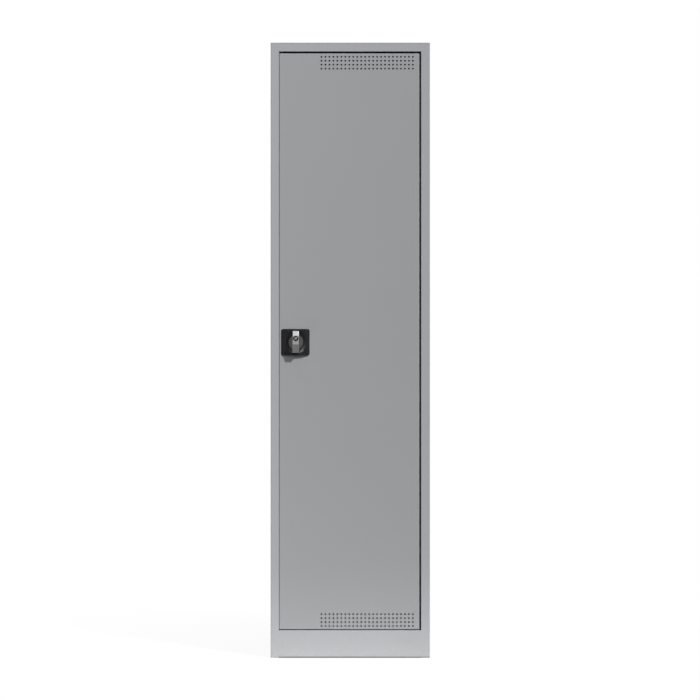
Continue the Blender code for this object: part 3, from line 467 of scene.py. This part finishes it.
def makeHandSheen():  # rubbed patch round a place that hands touch
    group, come = startGroup(
        "handSheen",
        [("Place", "Vector", None), ("Centre", "Vector", (0, 0, 0)), ("Reach", "Float", 0.15)],
        [("Mask", "Float")])
    away = addNode(group, "VectorMath", {0: come["Place"], 1: come["Centre"]}, operation="DISTANCE")
    part = mathNode(group, "DIVIDE", away.outputs["Value"], come["Reach"])
    patch = rangeNode(group, part, 1.0, 0.0, sheenLook["whole"], 1.0)
    noise = noiseNode(group, come["Place"], sheenLook["blotScale"], detail=4.0, roughness=0.6)
    blot = rangeNode(group, noise, 0.0, 1.0, *sheenLook["blots"])
    endGroup(group, Mask=mathNode(group, "MULTIPLY", patch, blot))


bounceAndDustLook = {"top": (0.6, 0.95), "fleckScale": 160.0, "fleck": (0.55, 1.0), "flecks": (0.40, 0.75)}


def makeFloorBounceAndDust():  # painted floor-bounce light that pales the coat towards the floor, with dust flecks, and dust on flat tops
    group, come = startGroup(
        "floorBounceAndDust",
        [("Place", "Vector", None), ("Height", "Float", 0.30), ("Tops", "Float", 0.0)],
        [("Mask", "Float")])
    level = mathNode(group, "DIVIDE", splitNode(group, come["Place"])["Z"], come["Height"])
    # painted light: paler towards the floor, for the light that the floor bounces up
    low = rangeNode(group, level, 1.0, 0.0)
    facing = splitNode(group, addNode(group, "NewGeometry").outputs["Normal"])
    flat = rangeNode(group, facing["Z"], 0.0, 1.0, *bounceAndDustLook["top"])
    top = mathNode(group, "MULTIPLY", flat, come["Tops"])
    noise = noiseNode(group, come["Place"], bounceAndDustLook["fleckScale"], detail=5.0, roughness=0.65)
    flecks = rangeNode(group, noise, *bounceAndDustLook["fleck"], *bounceAndDustLook["flecks"])
    endGroup(group, Mask=mathNode(group, "MULTIPLY", mathNode(group, "MAXIMUM", low, top), flecks))


bloomLook = {"hazeScale": 40.0, "cellShare": 0.7, "hazeShare": 0.3, "cellHeight": 0.4}


def makeZincBloom():  # crystal flowers on hot-dip zinc, or a finer cloud on plated parts
    group, come = startGroup(
        "zincBloom",
        [("Place", "Vector", None), ("Colour", "Color", (0.5, 0.5, 0.5, 1)), ("Scale", "Float", 110.0),
         ("Contrast", "Float", 0.25), ("Smooth", "Float", 0.30), ("Rough", "Float", 0.50)],
        [("Colour", "Color"), ("Roughness", "Float"), ("Height", "Float")])
    flower = addNode(group, "TexVoronoi", {"Vector": come["Place"], "Scale": come["Scale"]})
    cell = addNode(group, "SeparateColor", {0: flower.outputs["Color"]}).outputs
    haze = noiseNode(group, come["Place"], bloomLook["hazeScale"], detail=4.0, roughness=0.6)
    mixed = mathNode(
        group, "ADD", mathNode(group, "MULTIPLY", cell[0], bloomLook["cellShare"]),
        mathNode(group, "MULTIPLY", haze, bloomLook["hazeShare"]))
    swing = swingNode(group, mixed, come["Contrast"])
    raised = mathNode(group, "MULTIPLY", cell[2], bloomLook["cellHeight"])
    endGroup(
        group,
        Colour=tintNode(group, come["Colour"], mathNode(group, "ADD", swing, 1.0)),
        Roughness=rangeNode(group, cell[1], come["Smooth"], come["Rough"]),
        Height=mathNode(group, "ADD", haze, raised))


def makeDrawnLines():  # long fine lines from drawing, grinding or polishing
    group, come = startGroup(
        "drawnLines",
        [("Place", "Vector", None), ("Stretch", "Vector", (900, 900, 12))],
        [("Line", "Float")])
    drawn = addNode(group, "VectorMath", {0: come["Place"], 1: come["Stretch"]}, operation="MULTIPLY")
    endGroup(group, Line=noiseNode(group, drawn.outputs["Vector"], 1.0, detail=3.0, roughness=0.6))


mouldLook = {"cloudScale": 60.0}


def makeMouldGrain():  # spark-eroded grain of a moulded plastic face
    group, come = startGroup(
        "mouldGrain",
        [("Place", "Vector", None), ("Scale", "Float", 1500.0)],
        [("Height", "Float"), ("Cloud", "Float")])
    endGroup(
        group,
        Height=noiseNode(group, come["Place"], come["Scale"], roughness=0.7),
        Cloud=noiseNode(group, come["Place"], mouldLook["cloudScale"], detail=3.0))


# Finishes
def useEffect(tree, name, place, **values):
    return addNode(tree, "Group", {"Place": place, **values}, node_tree=effects[name]).outputs


def startFinish(name, metallic=0.0, specular=0.5):
    finish = bpy.data.materials.new(name)
    finish.use_nodes = True
    tree = finish.node_tree
    shader = tree.nodes["Principled BSDF"]
    shader.inputs["Metallic"].default_value = metallic
    shader.inputs["Specular IOR Level"].default_value = specular
    return finish, tree, addNode(tree, "TexCoord").outputs["Object"]


def endFinish(tree, colour, rough, height, strength, depth):
    bump = addNode(tree, "Bump", {"Strength": strength, "Distance": depth, "Height": height})
    shader = tree.nodes["Principled BSDF"]
    tree.links.new(colour, shader.inputs["Base Color"])
    tree.links.new(rough, shader.inputs["Roughness"])
    tree.links.new(bump.outputs["Normal"], shader.inputs["Normal"])


# The door's grey is a darker, less blue copy of the frame's: painted shade, as both are the same powder coat.
paintTones = {
    "framePaint": {"colour": (0.379, 0.389, 0.410), "dust": 0.33, "tops": 0.5},
    "doorPaint": {"colour": (0.334, 0.339, 0.348), "dust": 0.12, "tops": 0.0},
}
paintWear = {
    "shine": 0.35, "peel": (0.25, 0.00012), "dust": (0.61, 0.595, 0.56), "bounceAndDustRough": 0.2,
    "dirt": (0.20, 0.195, 0.19), "line": (0.55, 0.0), "floorShadeSpan": (0.0035, 0.0065),
    "floorShadeEnd": (0.15, 1.0), "floorShadeEndSpan": (-0.2290, -0.2245),
    "undersideShade": (0.05, 0.05, 0.052), "under": (0.9, 0.0), "undersideShadeSpan": (-0.97, -0.8),
    "rubReach": 0.16, "rubTint": 0.10, "rubPolish": 0.12,
}


def makePaint(name):
    tone, wear = paintTones[name], paintWear
    finish, tree, place = startFinish(name, specular=wear["shine"])
    coat = useEffect(tree, "powderCoat", place, Colour=opaque(tone["colour"]))
    # painted floor-bounce light low down, mixed with dust on tops, pales the coat
    dust = useEffect(tree, "floorBounceAndDust", place, Tops=tone["tops"])["Mask"]
    colour = mixNode(tree, mathNode(tree, "MULTIPLY", dust, tone["dust"]), coat["Colour"], wear["dust"])
    rough = mathNode(tree, "ADD", coat["Roughness"], mathNode(tree, "MULTIPLY", dust, wear["bounceAndDustRough"]))
    if name == "framePaint":  # painted shade: a dark line where it meets the floor, and darkened undersides
        split = splitNode(tree, place)
        # painted shade of the floor contact, weaker under the left stile
        line = mathNode(
            tree, "MULTIPLY", rangeNode(tree, split["Z"], *wear["line"], *wear["floorShadeSpan"]),
            rangeNode(tree, split["X"], *wear["floorShadeEnd"], *wear["floorShadeEndSpan"]))
        colour = mixNode(tree, line, colour, wear["dirt"])
        # painted shade: faces that look down go near black, for the shade in the gaps under the rails
        facing = splitNode(tree, addNode(tree, "NewGeometry").outputs["Normal"])
        under = rangeNode(tree, facing["Z"], *wear["under"], *wear["undersideShadeSpan"])
        colour = mixNode(tree, under, colour, wear["undersideShade"])
    else:  # the door is rubbed round the lock
        rubbed = useEffect(tree, "handSheen", place, Centre=lockPlace(), Reach=wear["rubReach"])["Mask"]
        colour = mixNode(tree, mathNode(tree, "MULTIPLY", rubbed, wear["rubTint"]), colour, wear["dirt"])
        rough = mathNode(tree, "SUBTRACT", rough, mathNode(tree, "MULTIPLY", rubbed, wear["rubPolish"]))
    endFinish(tree, colour, rough, coat["Height"], *wear["peel"])
    return finish


metalTones = {
    "galvanised": {
        "metallic": 0.6, "colour": (0.54, 0.56, 0.575), "scale": 95.0, "contrast": 0.42,
        "rough": (0.30, 0.50), "stretch": (500, 500, 500), "lines": 0.06},
    "zincPlate": {
        "metallic": 0.85, "colour": (0.56, 0.57, 0.575), "scale": 420.0, "contrast": 0.12,
        "rough": (0.32, 0.46), "stretch": (2600, 2600, 90), "lines": 0.07},
    "brightCast": {
        "metallic": 1.0, "colour": (0.58, 0.58, 0.59), "scale": 900.0, "contrast": 0.06,
        "rough": (0.46, 0.52), "stretch": (1800, 1800, 160), "lines": 0.07},
    "sandCast": {
        "metallic": 1.0, "colour": (0.29, 0.29, 0.295), "scale": 1100.0, "contrast": 0.20,
        "rough": (0.34, 0.42), "stretch": (1400, 1400, 1400), "lines": 0.12},
    "blackSteel": {
        "metallic": 1.0, "colour": (0.06, 0.06, 0.062), "scale": 600.0, "contrast": 0.20,
        "rough": (0.36, 0.52), "stretch": (900, 900, 20), "lines": 0.15},
}
metalBump = {"lineHeight": 4, "strength": 0.18, "depth": 0.00006}


def makeMetal(name):
    tone = metalTones[name]
    lines, (least, most) = tone["lines"], tone["rough"]
    finish, tree, place = startFinish(name, metallic=tone["metallic"])
    bloom = useEffect(
        tree, "zincBloom", place, Colour=opaque(tone["colour"]), Scale=tone["scale"],
        Contrast=tone["contrast"], Smooth=least, Rough=most)
    line = useEffect(tree, "drawnLines", place, Stretch=tone["stretch"])["Line"]
    colour = tintNode(tree, bloom["Colour"], rangeNode(tree, line, 1.0 - lines, 1.0 + lines, *noiseSpan))
    rough = mathNode(tree, "ADD", bloom["Roughness"], swingNode(tree, line, lines))
    raised = mathNode(tree, "MULTIPLY", line, lines * metalBump["lineHeight"])
    height = mathNode(tree, "ADD", bloom["Height"], raised)
    endFinish(tree, colour, rough, height, metalBump["strength"], metalBump["depth"])
    return finish


plasticTones = {
    "blackMoulding": {
        "colour": (0.0075, 0.0075, 0.0080), "rough": (0.26, 0.34),
        "grain": 1400.0, "bump": 0.08, "shine": 0.80},
    "blackNylon": {
        "colour": (0.016, 0.016, 0.017), "rough": (0.48, 0.62),
        "grain": 900.0, "bump": 0.25, "shine": 0.35},
    "stopRubber": {
        "colour": (0.013, 0.013, 0.013), "rough": (0.75, 0.92),
        "grain": 700.0, "bump": 0.35, "shine": 0.25},
}
plasticCloud = {"pale": 1.5, "depth": 0.00008}


def makePlastic(name):
    tone = plasticTones[name]
    finish, tree, place = startFinish(name, specular=tone["shine"])
    grain = useEffect(tree, "mouldGrain", place, Scale=tone["grain"])
    pale = tuple(c * plasticCloud["pale"] for c in tone["colour"])
    colour = mixNode(tree, grain["Cloud"], tone["colour"], pale)
    rough = rangeNode(tree, grain["Cloud"], *tone["rough"], *noiseSpan)
    endFinish(tree, colour, rough, grain["Height"], tone["bump"], plasticCloud["depth"])
    return finish


def makeFinishes():
    for makeEffect in (
            makePowderCoat, makeHandSheen, makeFloorBounceAndDust, makeZincBloom, makeDrawnLines, makeMouldGrain):
        makeEffect()
    finishes = {name: makePaint(name) for name in paintTones}
    finishes.update({name: makeMetal(name) for name in metalTones})
    finishes.update({name: makePlastic(name) for name in plasticTones})
    return finishes


# Solids that stay get the finish of their slot
slotFinish = {
    "frame_paint": "framePaint", "door_paint": "doorPaint", "black_plastic": "blackMoulding",
    "satin_metal": "sandCast", "zinc_steel": "zincPlate", "galvanised": "galvanised",
    "nylon": "blackNylon", "rubber": "stopRubber",
}
darkPins = ("top_hinge_pin", "bottom_hinge_pin")


def dressSolids(finishes):
    for part in frame["record"]["subparts"]:
        solid = nodes[part["node"]]
        name = "blackSteel" if part["node"] in darkPins else slotFinish[part["material_slot"]]
        solid.data.materials.clear()
        solid.data.materials.append(finishes[name])


# Door skin: a folded pan, perforated at both ends
doorPan = {
    "spread": 0.0009, "lip": 0.012, "sheet": 0.001, "fold": 0.002, "foldSteps": 4,
    "hubHole": 0.014, "pinHole": 0.0065,
}
vents = {
    "radius": 0.00285, "sides": 16, "across": 0.0126, "up": 0.0125, "columns": 24, "rows": 4,
    "fromHinge": 0.0205, "fromEnd": 0.0108,
}
punch = {"deep": 0.006, "steps": 48, "pinSteps": 32}


def punchPinHole(piece, z, radius):  # on the hinge axis
    place = (hingePlace[0], hingePlace[1], z)
    carve(piece, startRound("pinHole", place, radius, punch["deep"], punch["pinSteps"]))


def punchVents(piece, rowZ):
    place = (doorHigh.x - vents["fromHinge"], doorFront + doorPan["sheet"] / 2, rowZ)
    holes = startRound("holes", place, vents["radius"], 3 * doorPan["sheet"], vents["sides"], toFront)
    repeatShape(holes, vents["columns"], (-vents["across"], 0, 0))
    repeatShape(holes, vents["rows"], (0, 0, vents["up"]))
    carve(piece, holes)


def makeDoorSkin(finish):
    piece = startBox("doorSkin", doorLow - Vector((doorPan["spread"], 0, 0)), doorHigh)
    choose(piece, "FACE", lambda face: face.normal.y > square)
    bpy.ops.mesh.inset(thickness=doorPan["lip"])
    bpy.ops.mesh.delete(type="FACE")
    middle = (doorLow.x + doorHigh.x) / 2
    choose(piece, "FACE", lambda face: face.normal.y > square and abs(
        face.calc_center_bounds().x - middle) < doorPan["lip"])
    bpy.ops.mesh.delete(type="FACE")  # lips stay only down the sides
    leaveEdit()
    foldSheet(piece, doorPan)
    span = (vents["rows"] - 1) * vents["up"]
    punchVents(piece, doorLow.z + vents["fromEnd"])
    punchVents(piece, doorHigh.z - vents["fromEnd"] - span)
    hub = startRound("hubHole", lockPlace(), doorPan["hubHole"], punch["deep"], punch["steps"], toFront)
    carve(piece, hub)
    for z in (doorLow.z, doorHigh.z):
        punchPinHole(piece, z, doorPan["pinHole"])
    smooth(piece)
    fitPiece(piece, "door", "door_skin", finish)
    print("door skin folded and punched")


# Lock rose: a domed plate with a finger dish and a threaded hub
rose = {
    "shift": (-0.0018, 0.0006), "corner": 0.006, "cornerSteps": 8, "dome": 0.120, "domeTall": 0.2,
    "domeSteps": 256, "edge": 0.0006, "edgeSteps": 3, "edgeAngle": 50, "hub": 0.0137, "hubStart": 0.00245,
    "hubEnd": -0.0093, "bore": 0.0087, "boreReach": 0.02, "dishSteps": 72, "smooth": 28,
}
roseDish = [
    (0.0238, 0.0036), (0.0250, 0.0037), (0.0258, 0.0040),
    (0.0354, 0.0067), (0.0362, 0.0074), (0.0368, 0.0108)]
thread = {"pitch": 0.0015, "depth": 0.0004, "start": -0.0012}


def threadProfile():  # crests and roots by turns, from the hub's end to the plate
    profile = [(rose["hub"], rose["hubStart"]), (rose["hub"], thread["start"])]
    count = 0
    while profile[-1][1] > rose["hubEnd"]:
        count += 1
        dip = thread["depth"] if count % 2 else 0.0
        profile.append((rose["hub"] - dip, thread["start"] - count * thread["pitch"] / 2))
    return profile[::-1]


def makeLockRose(finish):
    (x, z), front = rose["shift"], roseLow.y
    piece = startBox(
        "lockRose", (roseLow.x + x, front, roseLow.z + z),
        (roseHigh.x + x, doorFront - seam, roseHigh.z + z))
    roundCorners(piece, 1, rose["corner"], rose["cornerSteps"])
    middle = (lockX + x, front + rose["dome"], lockZ)
    dome = startRound("roseDome", middle, rose["dome"], rose["domeTall"], rose["domeSteps"])
    carve(piece, dome, "INTERSECT")
    foldEdges(piece, rose["edge"], rose["edgeSteps"], rose["edgeAngle"])
    carve(piece, turnShape("roseHub", lockPlace(), threadProfile()), "UNION")
    carve(piece, turnShape("roseDish", lockPlace(), roseDish, rose["dishSteps"]))
    bore = [(rose["bore"], -rose["boreReach"]), (rose["bore"], rose["boreReach"])]
    carve(piece, turnShape("roseBore", lockPlace(), bore))
    smooth(piece, rose["smooth"])
    fitPiece(piece, "door", "lock_rose", finish)
    print("lock rose dished")


# Turn grip: a round base on a shaft, with a sloped bar across it
grip = {
    "halfWide": 0.010, "up": 0.0360, "down": 0.0335, "under": 0.0110, "face": 0.0310,
    "topSlope": ((0.0213, 0.0355), (0.0297, 0.0210)), "midSlope": ((0.0297, 0.0210), (0.0306, -0.0060)),
    "lowSlope": ((0.0307, -0.0058), (0.0246, -0.0335)),
    "edge": 0.0014, "edgeSteps": 8, "neckWide": 0.0094, "neckLong": 0.0200, "keyUp": 0.012,
    "socket": 0.0043, "socketFrom": -0.004, "socketTo": -0.03, "baseSteps": 72, "smooth": 13,
}
gripBase = [
    (0.0085, -0.0160), (0.0085, 0.0045), (0.0219, 0.0045),
    (0.0230, 0.0055), (0.0230, 0.0092), (0.0227, 0.0095)]
gripBore = [(0.0082, 0.0137), (0.0082, 0.0294), (0.0087, 0.0301), (0.0095, 0.0310)]


def slopeCut(piece, first, second, up):  # saws off what lies outside a sloped plane
    start, end = lockPlace(*first), lockPlace(*second)
    normal = (end - start).cross(Vector((1, 0, 0))).normalized()
    if normal.z * up < 0:
        normal.negate()
    choose(piece, "FACE")
    bpy.ops.mesh.bisect(plane_co=start, plane_no=normal, use_fill=True, clear_outer=True)
    leaveEdit()


def makeTurnGrip(sand, bright):
    piece = turnShape("turnGrip", lockPlace(), gripBase, grip["baseSteps"])
    bar = lockBox("gripBar", grip["halfWide"], grip["face"], grip["under"], grip["down"], grip["up"])
    for slope, up in (("topSlope", 1), ("midSlope", 1), ("lowSlope", -1)):
        slopeCut(bar, *grip[slope], up)
    foldEdges(bar, grip["edge"], grip["edgeSteps"])
    carve(piece, bar, "UNION")
    neckFront, long = grip["under"] + grip["edge"], grip["neckLong"]
    carve(piece, lockBox("gripNeck", grip["neckWide"], neckFront, gripBase[-2][1], long, long), "UNION")
    carve(piece, turnShape("gripBore", lockPlace(0.0, grip["keyUp"]), gripBore))
    half = grip["socket"]
    carve(piece, lockBox("gripSocket", half, grip["socketFrom"], grip["socketTo"], half, half))
    smooth(piece, grip["smooth"])
    fitPiece(piece, "handle", "turn_grip", sand)
    barFrom = gripBase[-1][1] + seam  # the bar is rubbed bright, the base keeps its cast skin
    addFinish(piece, bright, lambda centre: doorFront - centre.y > barFrom)
    print("turn grip cast")


# Key cylinder: a sunk ring round a proud plug with a keyway
cylinderTurn = [
    (0.0080, 0.0140), (0.0080, 0.0305), (0.0078, 0.0309), (0.0075, 0.0310), (0.0072, 0.0308),
    (0.0071, 0.0284), (0.0047, 0.0284), (0.0045, 0.0303), (0.0041, 0.0307)]
keyway = {"wide": 0.0011, "long": 0.0056, "front": 0.0330, "end": 0.0250, "blackFrom": 0.02, "smooth": 30}


def makeLockCylinder(bright, dark):
    up, half = grip["keyUp"], keyway["long"] / 2
    axis = lockPlace(0.0, up)
    piece = turnShape("lockCylinder", axis, cylinderTurn)
    keyCut = lockBox("keyCut", keyway["wide"] / 2, keyway["front"], keyway["end"], half - up, half + up)
    carve(piece, keyCut)
    smooth(piece, keyway["smooth"])
    fitPiece(piece, "key_cylinder", "lock_cylinder", bright)
    plug = cylinderTurn[-2][0]  # all but the plug is blackened
    addFinish(piece, dark, lambda centre: math.hypot(centre.x - axis.x, centre.z - axis.z) > plug
              and doorFront - centre.y > keyway["blackFrom"])
    print("key cylinder turned")


# Spill trays: folded pans with a turned-out, hemmed rim
trayFold = {"rim": 0.010, "hem": 0.005, "sheet": 0.001, "fold": 0.0022, "foldSteps": 3}


def makeTray(node, body, finish):
    low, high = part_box(node)
    rim, top = trayFold["rim"], high.z - trayFold["sheet"]
    piece = startBox(
        pieceName(node), (low.x + rim, low.y + rim, low.z), (high.x - rim, high.y - rim, top))
    choose(piece, "FACE", lambda face: face.normal.z > square)
    bpy.ops.mesh.delete(type="FACE")
    choose(piece, "EDGE", lambda edge: edge.is_boundary)
    middle = ((low.x + high.x) / 2, (low.y + high.y) / 2, top)
    wide, deep = high.x - low.x, high.y - low.y
    pull((0, 0, 0))
    bpy.ops.transform.resize(
        value=(wide / (wide - 2 * rim), deep / (deep - 2 * rim), 1), center_override=middle)
    pull((0, 0, -trayFold["hem"]))
    leaveEdit()
    foldSheet(piece, trayFold)
    smooth(piece)
    fitPiece(piece, body, node, finish)


# Carcass sheets with round folds, welded flush where the rails meet the stiles
carcassSheet = {
    "sheet": 0.001, "fold": 0.002, "foldSteps": 4, "setback": 0.0256, "stopLip": 0.012, "rear": 0.020,
    "pinHole": 0.0043, "weld": 0.0009,
}
stiles = {"left": {"side": -1, "wide": 0.026}, "right": {"side": 1, "wide": 0.0285}}
footFlange = {"wide": 0.020, "fromFront": 0.0376, "fromRear": 0.0173}
rails = {
    "header_rail": {"top": ((0, 0.020, 0),), "low": ((0, 0.020, 0), (0, 0, 0.010)), "pinAt": "low"},
    "plinth_rail": {"top": ((0, 0.020, 0), (0, 0, -0.010)), "low": ((0, 0.020, 0),), "pinAt": "top"},
}


def makeSidePanel(word, finish):
    node, side, wide = word + "_side_panel", stiles[word]["side"], stiles[word]["wide"]
    low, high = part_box(node)
    outer = low.x if side < 0 else high.x
    piece = startSheet(pieceName(node), (outer, low.y, low.z), (outer, high.y, high.z))
    moves = [(-side * wide, 0, 0), (0, carcassSheet["setback"], 0)]
    if side < 0:  # the lock side has a stop lip
        moves.append((carcassSheet["stopLip"], 0, 0))
    foldOut(piece, 1, low.y, moves)
    foldOut(piece, 1, high.y, [(-side * carcassSheet["rear"], 0, 0)])
    faceOut(piece, (side, 0, 0))
    foldSheet(piece, carcassSheet)
    edges = sorted((outer - side * carcassSheet["sheet"] / 2, outer - side * footFlange["wide"]))
    foot = startBox(
        "foot", (edges[0], low.y + footFlange["fromFront"], low.z),
        (edges[1], high.y - footFlange["fromRear"], low.z + carcassSheet["sheet"]))
    carve(piece, foot, "UNION")
    smooth(piece)
    fitPiece(piece, "carcass", node, finish)


def makeRail(node, finish):
    rail, fold = rails[node], carcassSheet["fold"]
    low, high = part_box(node)
    piece = startSheet(pieceName(node), (low.x, low.y, low.z), (high.x, low.y, high.z))
    foldOut(piece, 2, high.z, rail["top"])
    foldOut(piece, 2, low.z, rail["low"])
    faceOut(piece, outward)
    foldSheet(piece, carcassSheet)
    punchPinHole(piece, low.z if rail["pinAt"] == "low" else high.z, carcassSheet["pinHole"])
    smooth(piece)
    reach = seam + fold  # the weld fills the groove beside the stile's fold
    for x0, x1 in ((low.x - reach, low.x), (high.x, high.x + reach)):
        weld = startBox(
            "weld", (x0, low.y, low.z + fold), (x1, low.y + carcassSheet["weld"], high.z - fold))
        makeActive(piece)
        weld.select_set(True)
        bpy.ops.object.join()
    fitPiece(piece, "carcass", node, finish)


# Slotted uprights
channel = {
    "sheet": 0.0012, "fold": 0.0022, "foldSteps": 3, "slotWide": 0.014, "slotTall": 0.010,
    "slotReach": 0.003, "slotCorner": 0.0015, "cornerSteps": 3, "firstSlot": 0.1695, "pitch": 0.0875,
    "slots": 21,
}


def makeUpright(node, finish):
    low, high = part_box(node)
    side = -1 if low.x < 0 else 1
    face, wall = (high.x, low.x) if side < 0 else (low.x, high.x)
    piece = startSheet(pieceName(node), (face, low.y, low.z), (face, high.y, high.z))
    for y in (low.y, high.y):
        foldOut(piece, 1, y, [(wall - face, 0, 0)])
    faceOut(piece, (-side, 0, 0))
    foldSheet(piece, channel)
    middle = Vector((face, (low.y + high.y) / 2, channel["firstSlot"]))
    half = Vector((channel["slotReach"], channel["slotWide"] / 2, channel["slotTall"] / 2))
    slots = startBox("slots", middle - half, middle + half)
    roundCorners(slots, 0, channel["slotCorner"], channel["cornerSteps"])
    repeatShape(slots, channel["slots"], (0, 0, channel["pitch"]))
    carve(piece, slots)
    smooth(piece)
    fitPiece(piece, "carcass", node, finish)


# Inside of the door: stiffener, nut, screw, pins and stops
hatSection = {
    "crown": 0.040, "flare": 0.004, "foot": 0.012, "sheet": 0.001, "fold": 0.002, "foldSteps": 3,
}
nutShape = {"bore": 0.0140, "boreSpan": (-0.01, 0.02), "chamfer": 0.0010, "corner": 0.02136, "smooth": 30}
screwTurn = [
    (0.0023, 0.0000), (0.0025, 0.0003), (0.0025, 0.0103), (0.0060, 0.0103),
    (0.0060, 0.0118), (0.0057, 0.0127), (0.0048, 0.0134), (0.0036, 0.0138)]
screwSocket = {"radius": 0.0029, "deep": 0.0022}
pinTurn = [
    (0.0022, 0.0000), (0.0025, 0.0003), (0.0025, 0.0073), (0.0018, 0.0073),
    (0.0018, 0.0109), (0.0025, 0.0109), (0.0024, 0.0116), (0.0020, 0.0121)]
stopTurn = [
    (0.0027, 0.0000), (0.0036, 0.0004), (0.0041, 0.0010),
    (0.0044, 0.0020), (0.0045, 0.0032), (0.0045, 0.0050)]
turned = {"steps": 32, "hexagon": 6, "smooth": 40}


def makeStiffener(finish):
    low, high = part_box("door_stiffener")
    middle, half = (low.x + high.x) / 2, hatSection["crown"] / 2
    piece = startSheet("doorStiffener", (middle - half, high.y, low.z), (middle + half, high.y, high.z))
    for side in (-1, 1):
        flare, foot = (side * hatSection["flare"], low.y - high.y, 0), (side * hatSection["foot"], 0, 0)
        foldOut(piece, 0, middle + side * half, [flare, foot])
    faceOut(piece, -outward)
    foldSheet(piece, hatSection)
    smooth(piece)
    fitPiece(piece, "door", "door_stiffener", finish)


def makeHubNut(finish):
    low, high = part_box("hub_nut")
    cut, corner, deep = nutShape["chamfer"], nutShape["corner"], high.y - low.y
    profile = [(corner - cut, 0), (corner, cut / 2), (corner, deep - cut / 2), (corner - cut, deep)]
    axis = (lockX, high.y, lockZ)
    piece = turnShape("hubNut", axis, profile, turned["hexagon"])
    makeActive(piece)
    bpy.ops.transform.rotate(value=math.pi / turned["hexagon"], orient_axis="Y", center_override=axis)
    settle(piece)
    carve(piece, turnShape("nutBore", axis, [(nutShape["bore"], end) for end in nutShape["boreSpan"]]))
    smooth(piece, nutShape["smooth"])
    fitPiece(piece, "door", "hub_nut", finish)


def makeTurned(node, body, finish, profile):  # a round piece whose profile starts at its front
    low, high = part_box(node)
    centre = ((low.x + high.x) / 2, low.y, (low.z + high.z) / 2)
    piece = turnShape(pieceName(node), centre, [(r, -h) for r, h in profile], turned["steps"])
    if node == "cam_screw":
        deep, top = screwSocket["deep"], -screwTurn[-1][1]
        hexCut = [(screwSocket["radius"], end) for end in (top + deep, top - deep)]
        carve(piece, turnShape("socket", centre, hexCut, turned["hexagon"]))
    smooth(piece, turned["smooth"])
    fitPiece(piece, body, node, finish)


bpy.context.scene.view_settings.view_transform = "Standard"
setCamera()
setWorld()
setFloor()
setLamps()
print("studio set")

finishes = makeFinishes()
dressSolids(finishes)
print("finishes made")
makeDoorSkin(finishes["doorPaint"])
makeLockRose(finishes["blackMoulding"])
makeTurnGrip(finishes["sandCast"], finishes["brightCast"])
makeLockCylinder(finishes["brightCast"], finishes["blackMoulding"])
makeTray("sump_tray", "sump", finishes["galvanised"])
for number in range(1, 5):
    makeTray(f"spill_tray_{number}", f"tray_{number}", finishes["galvanised"])
print("trays folded")
for word in stiles:
    makeSidePanel(word, finishes["framePaint"])
for node in rails:
    makeRail(node, finishes["framePaint"])
for row in ("front", "rear"):
    for word in stiles:
        makeUpright(f"{row}_{word}_upright", finishes["galvanised"])
print("carcass front folded and welded")
makeStiffener(finishes["doorPaint"])
makeHubNut(finishes["zincPlate"])
makeTurned("cam_screw", "handle", finishes["zincPlate"], screwTurn)
for which in ("upper", "lower"):
    makeTurned(which + "_crank_pin", "handle", finishes["zincPlate"], pinTurn)
    makeTurned(which + "_door_stop", "carcass", finishes["stopRubber"], stopTurn)
print("inside of the door fitted")
clearSelection()
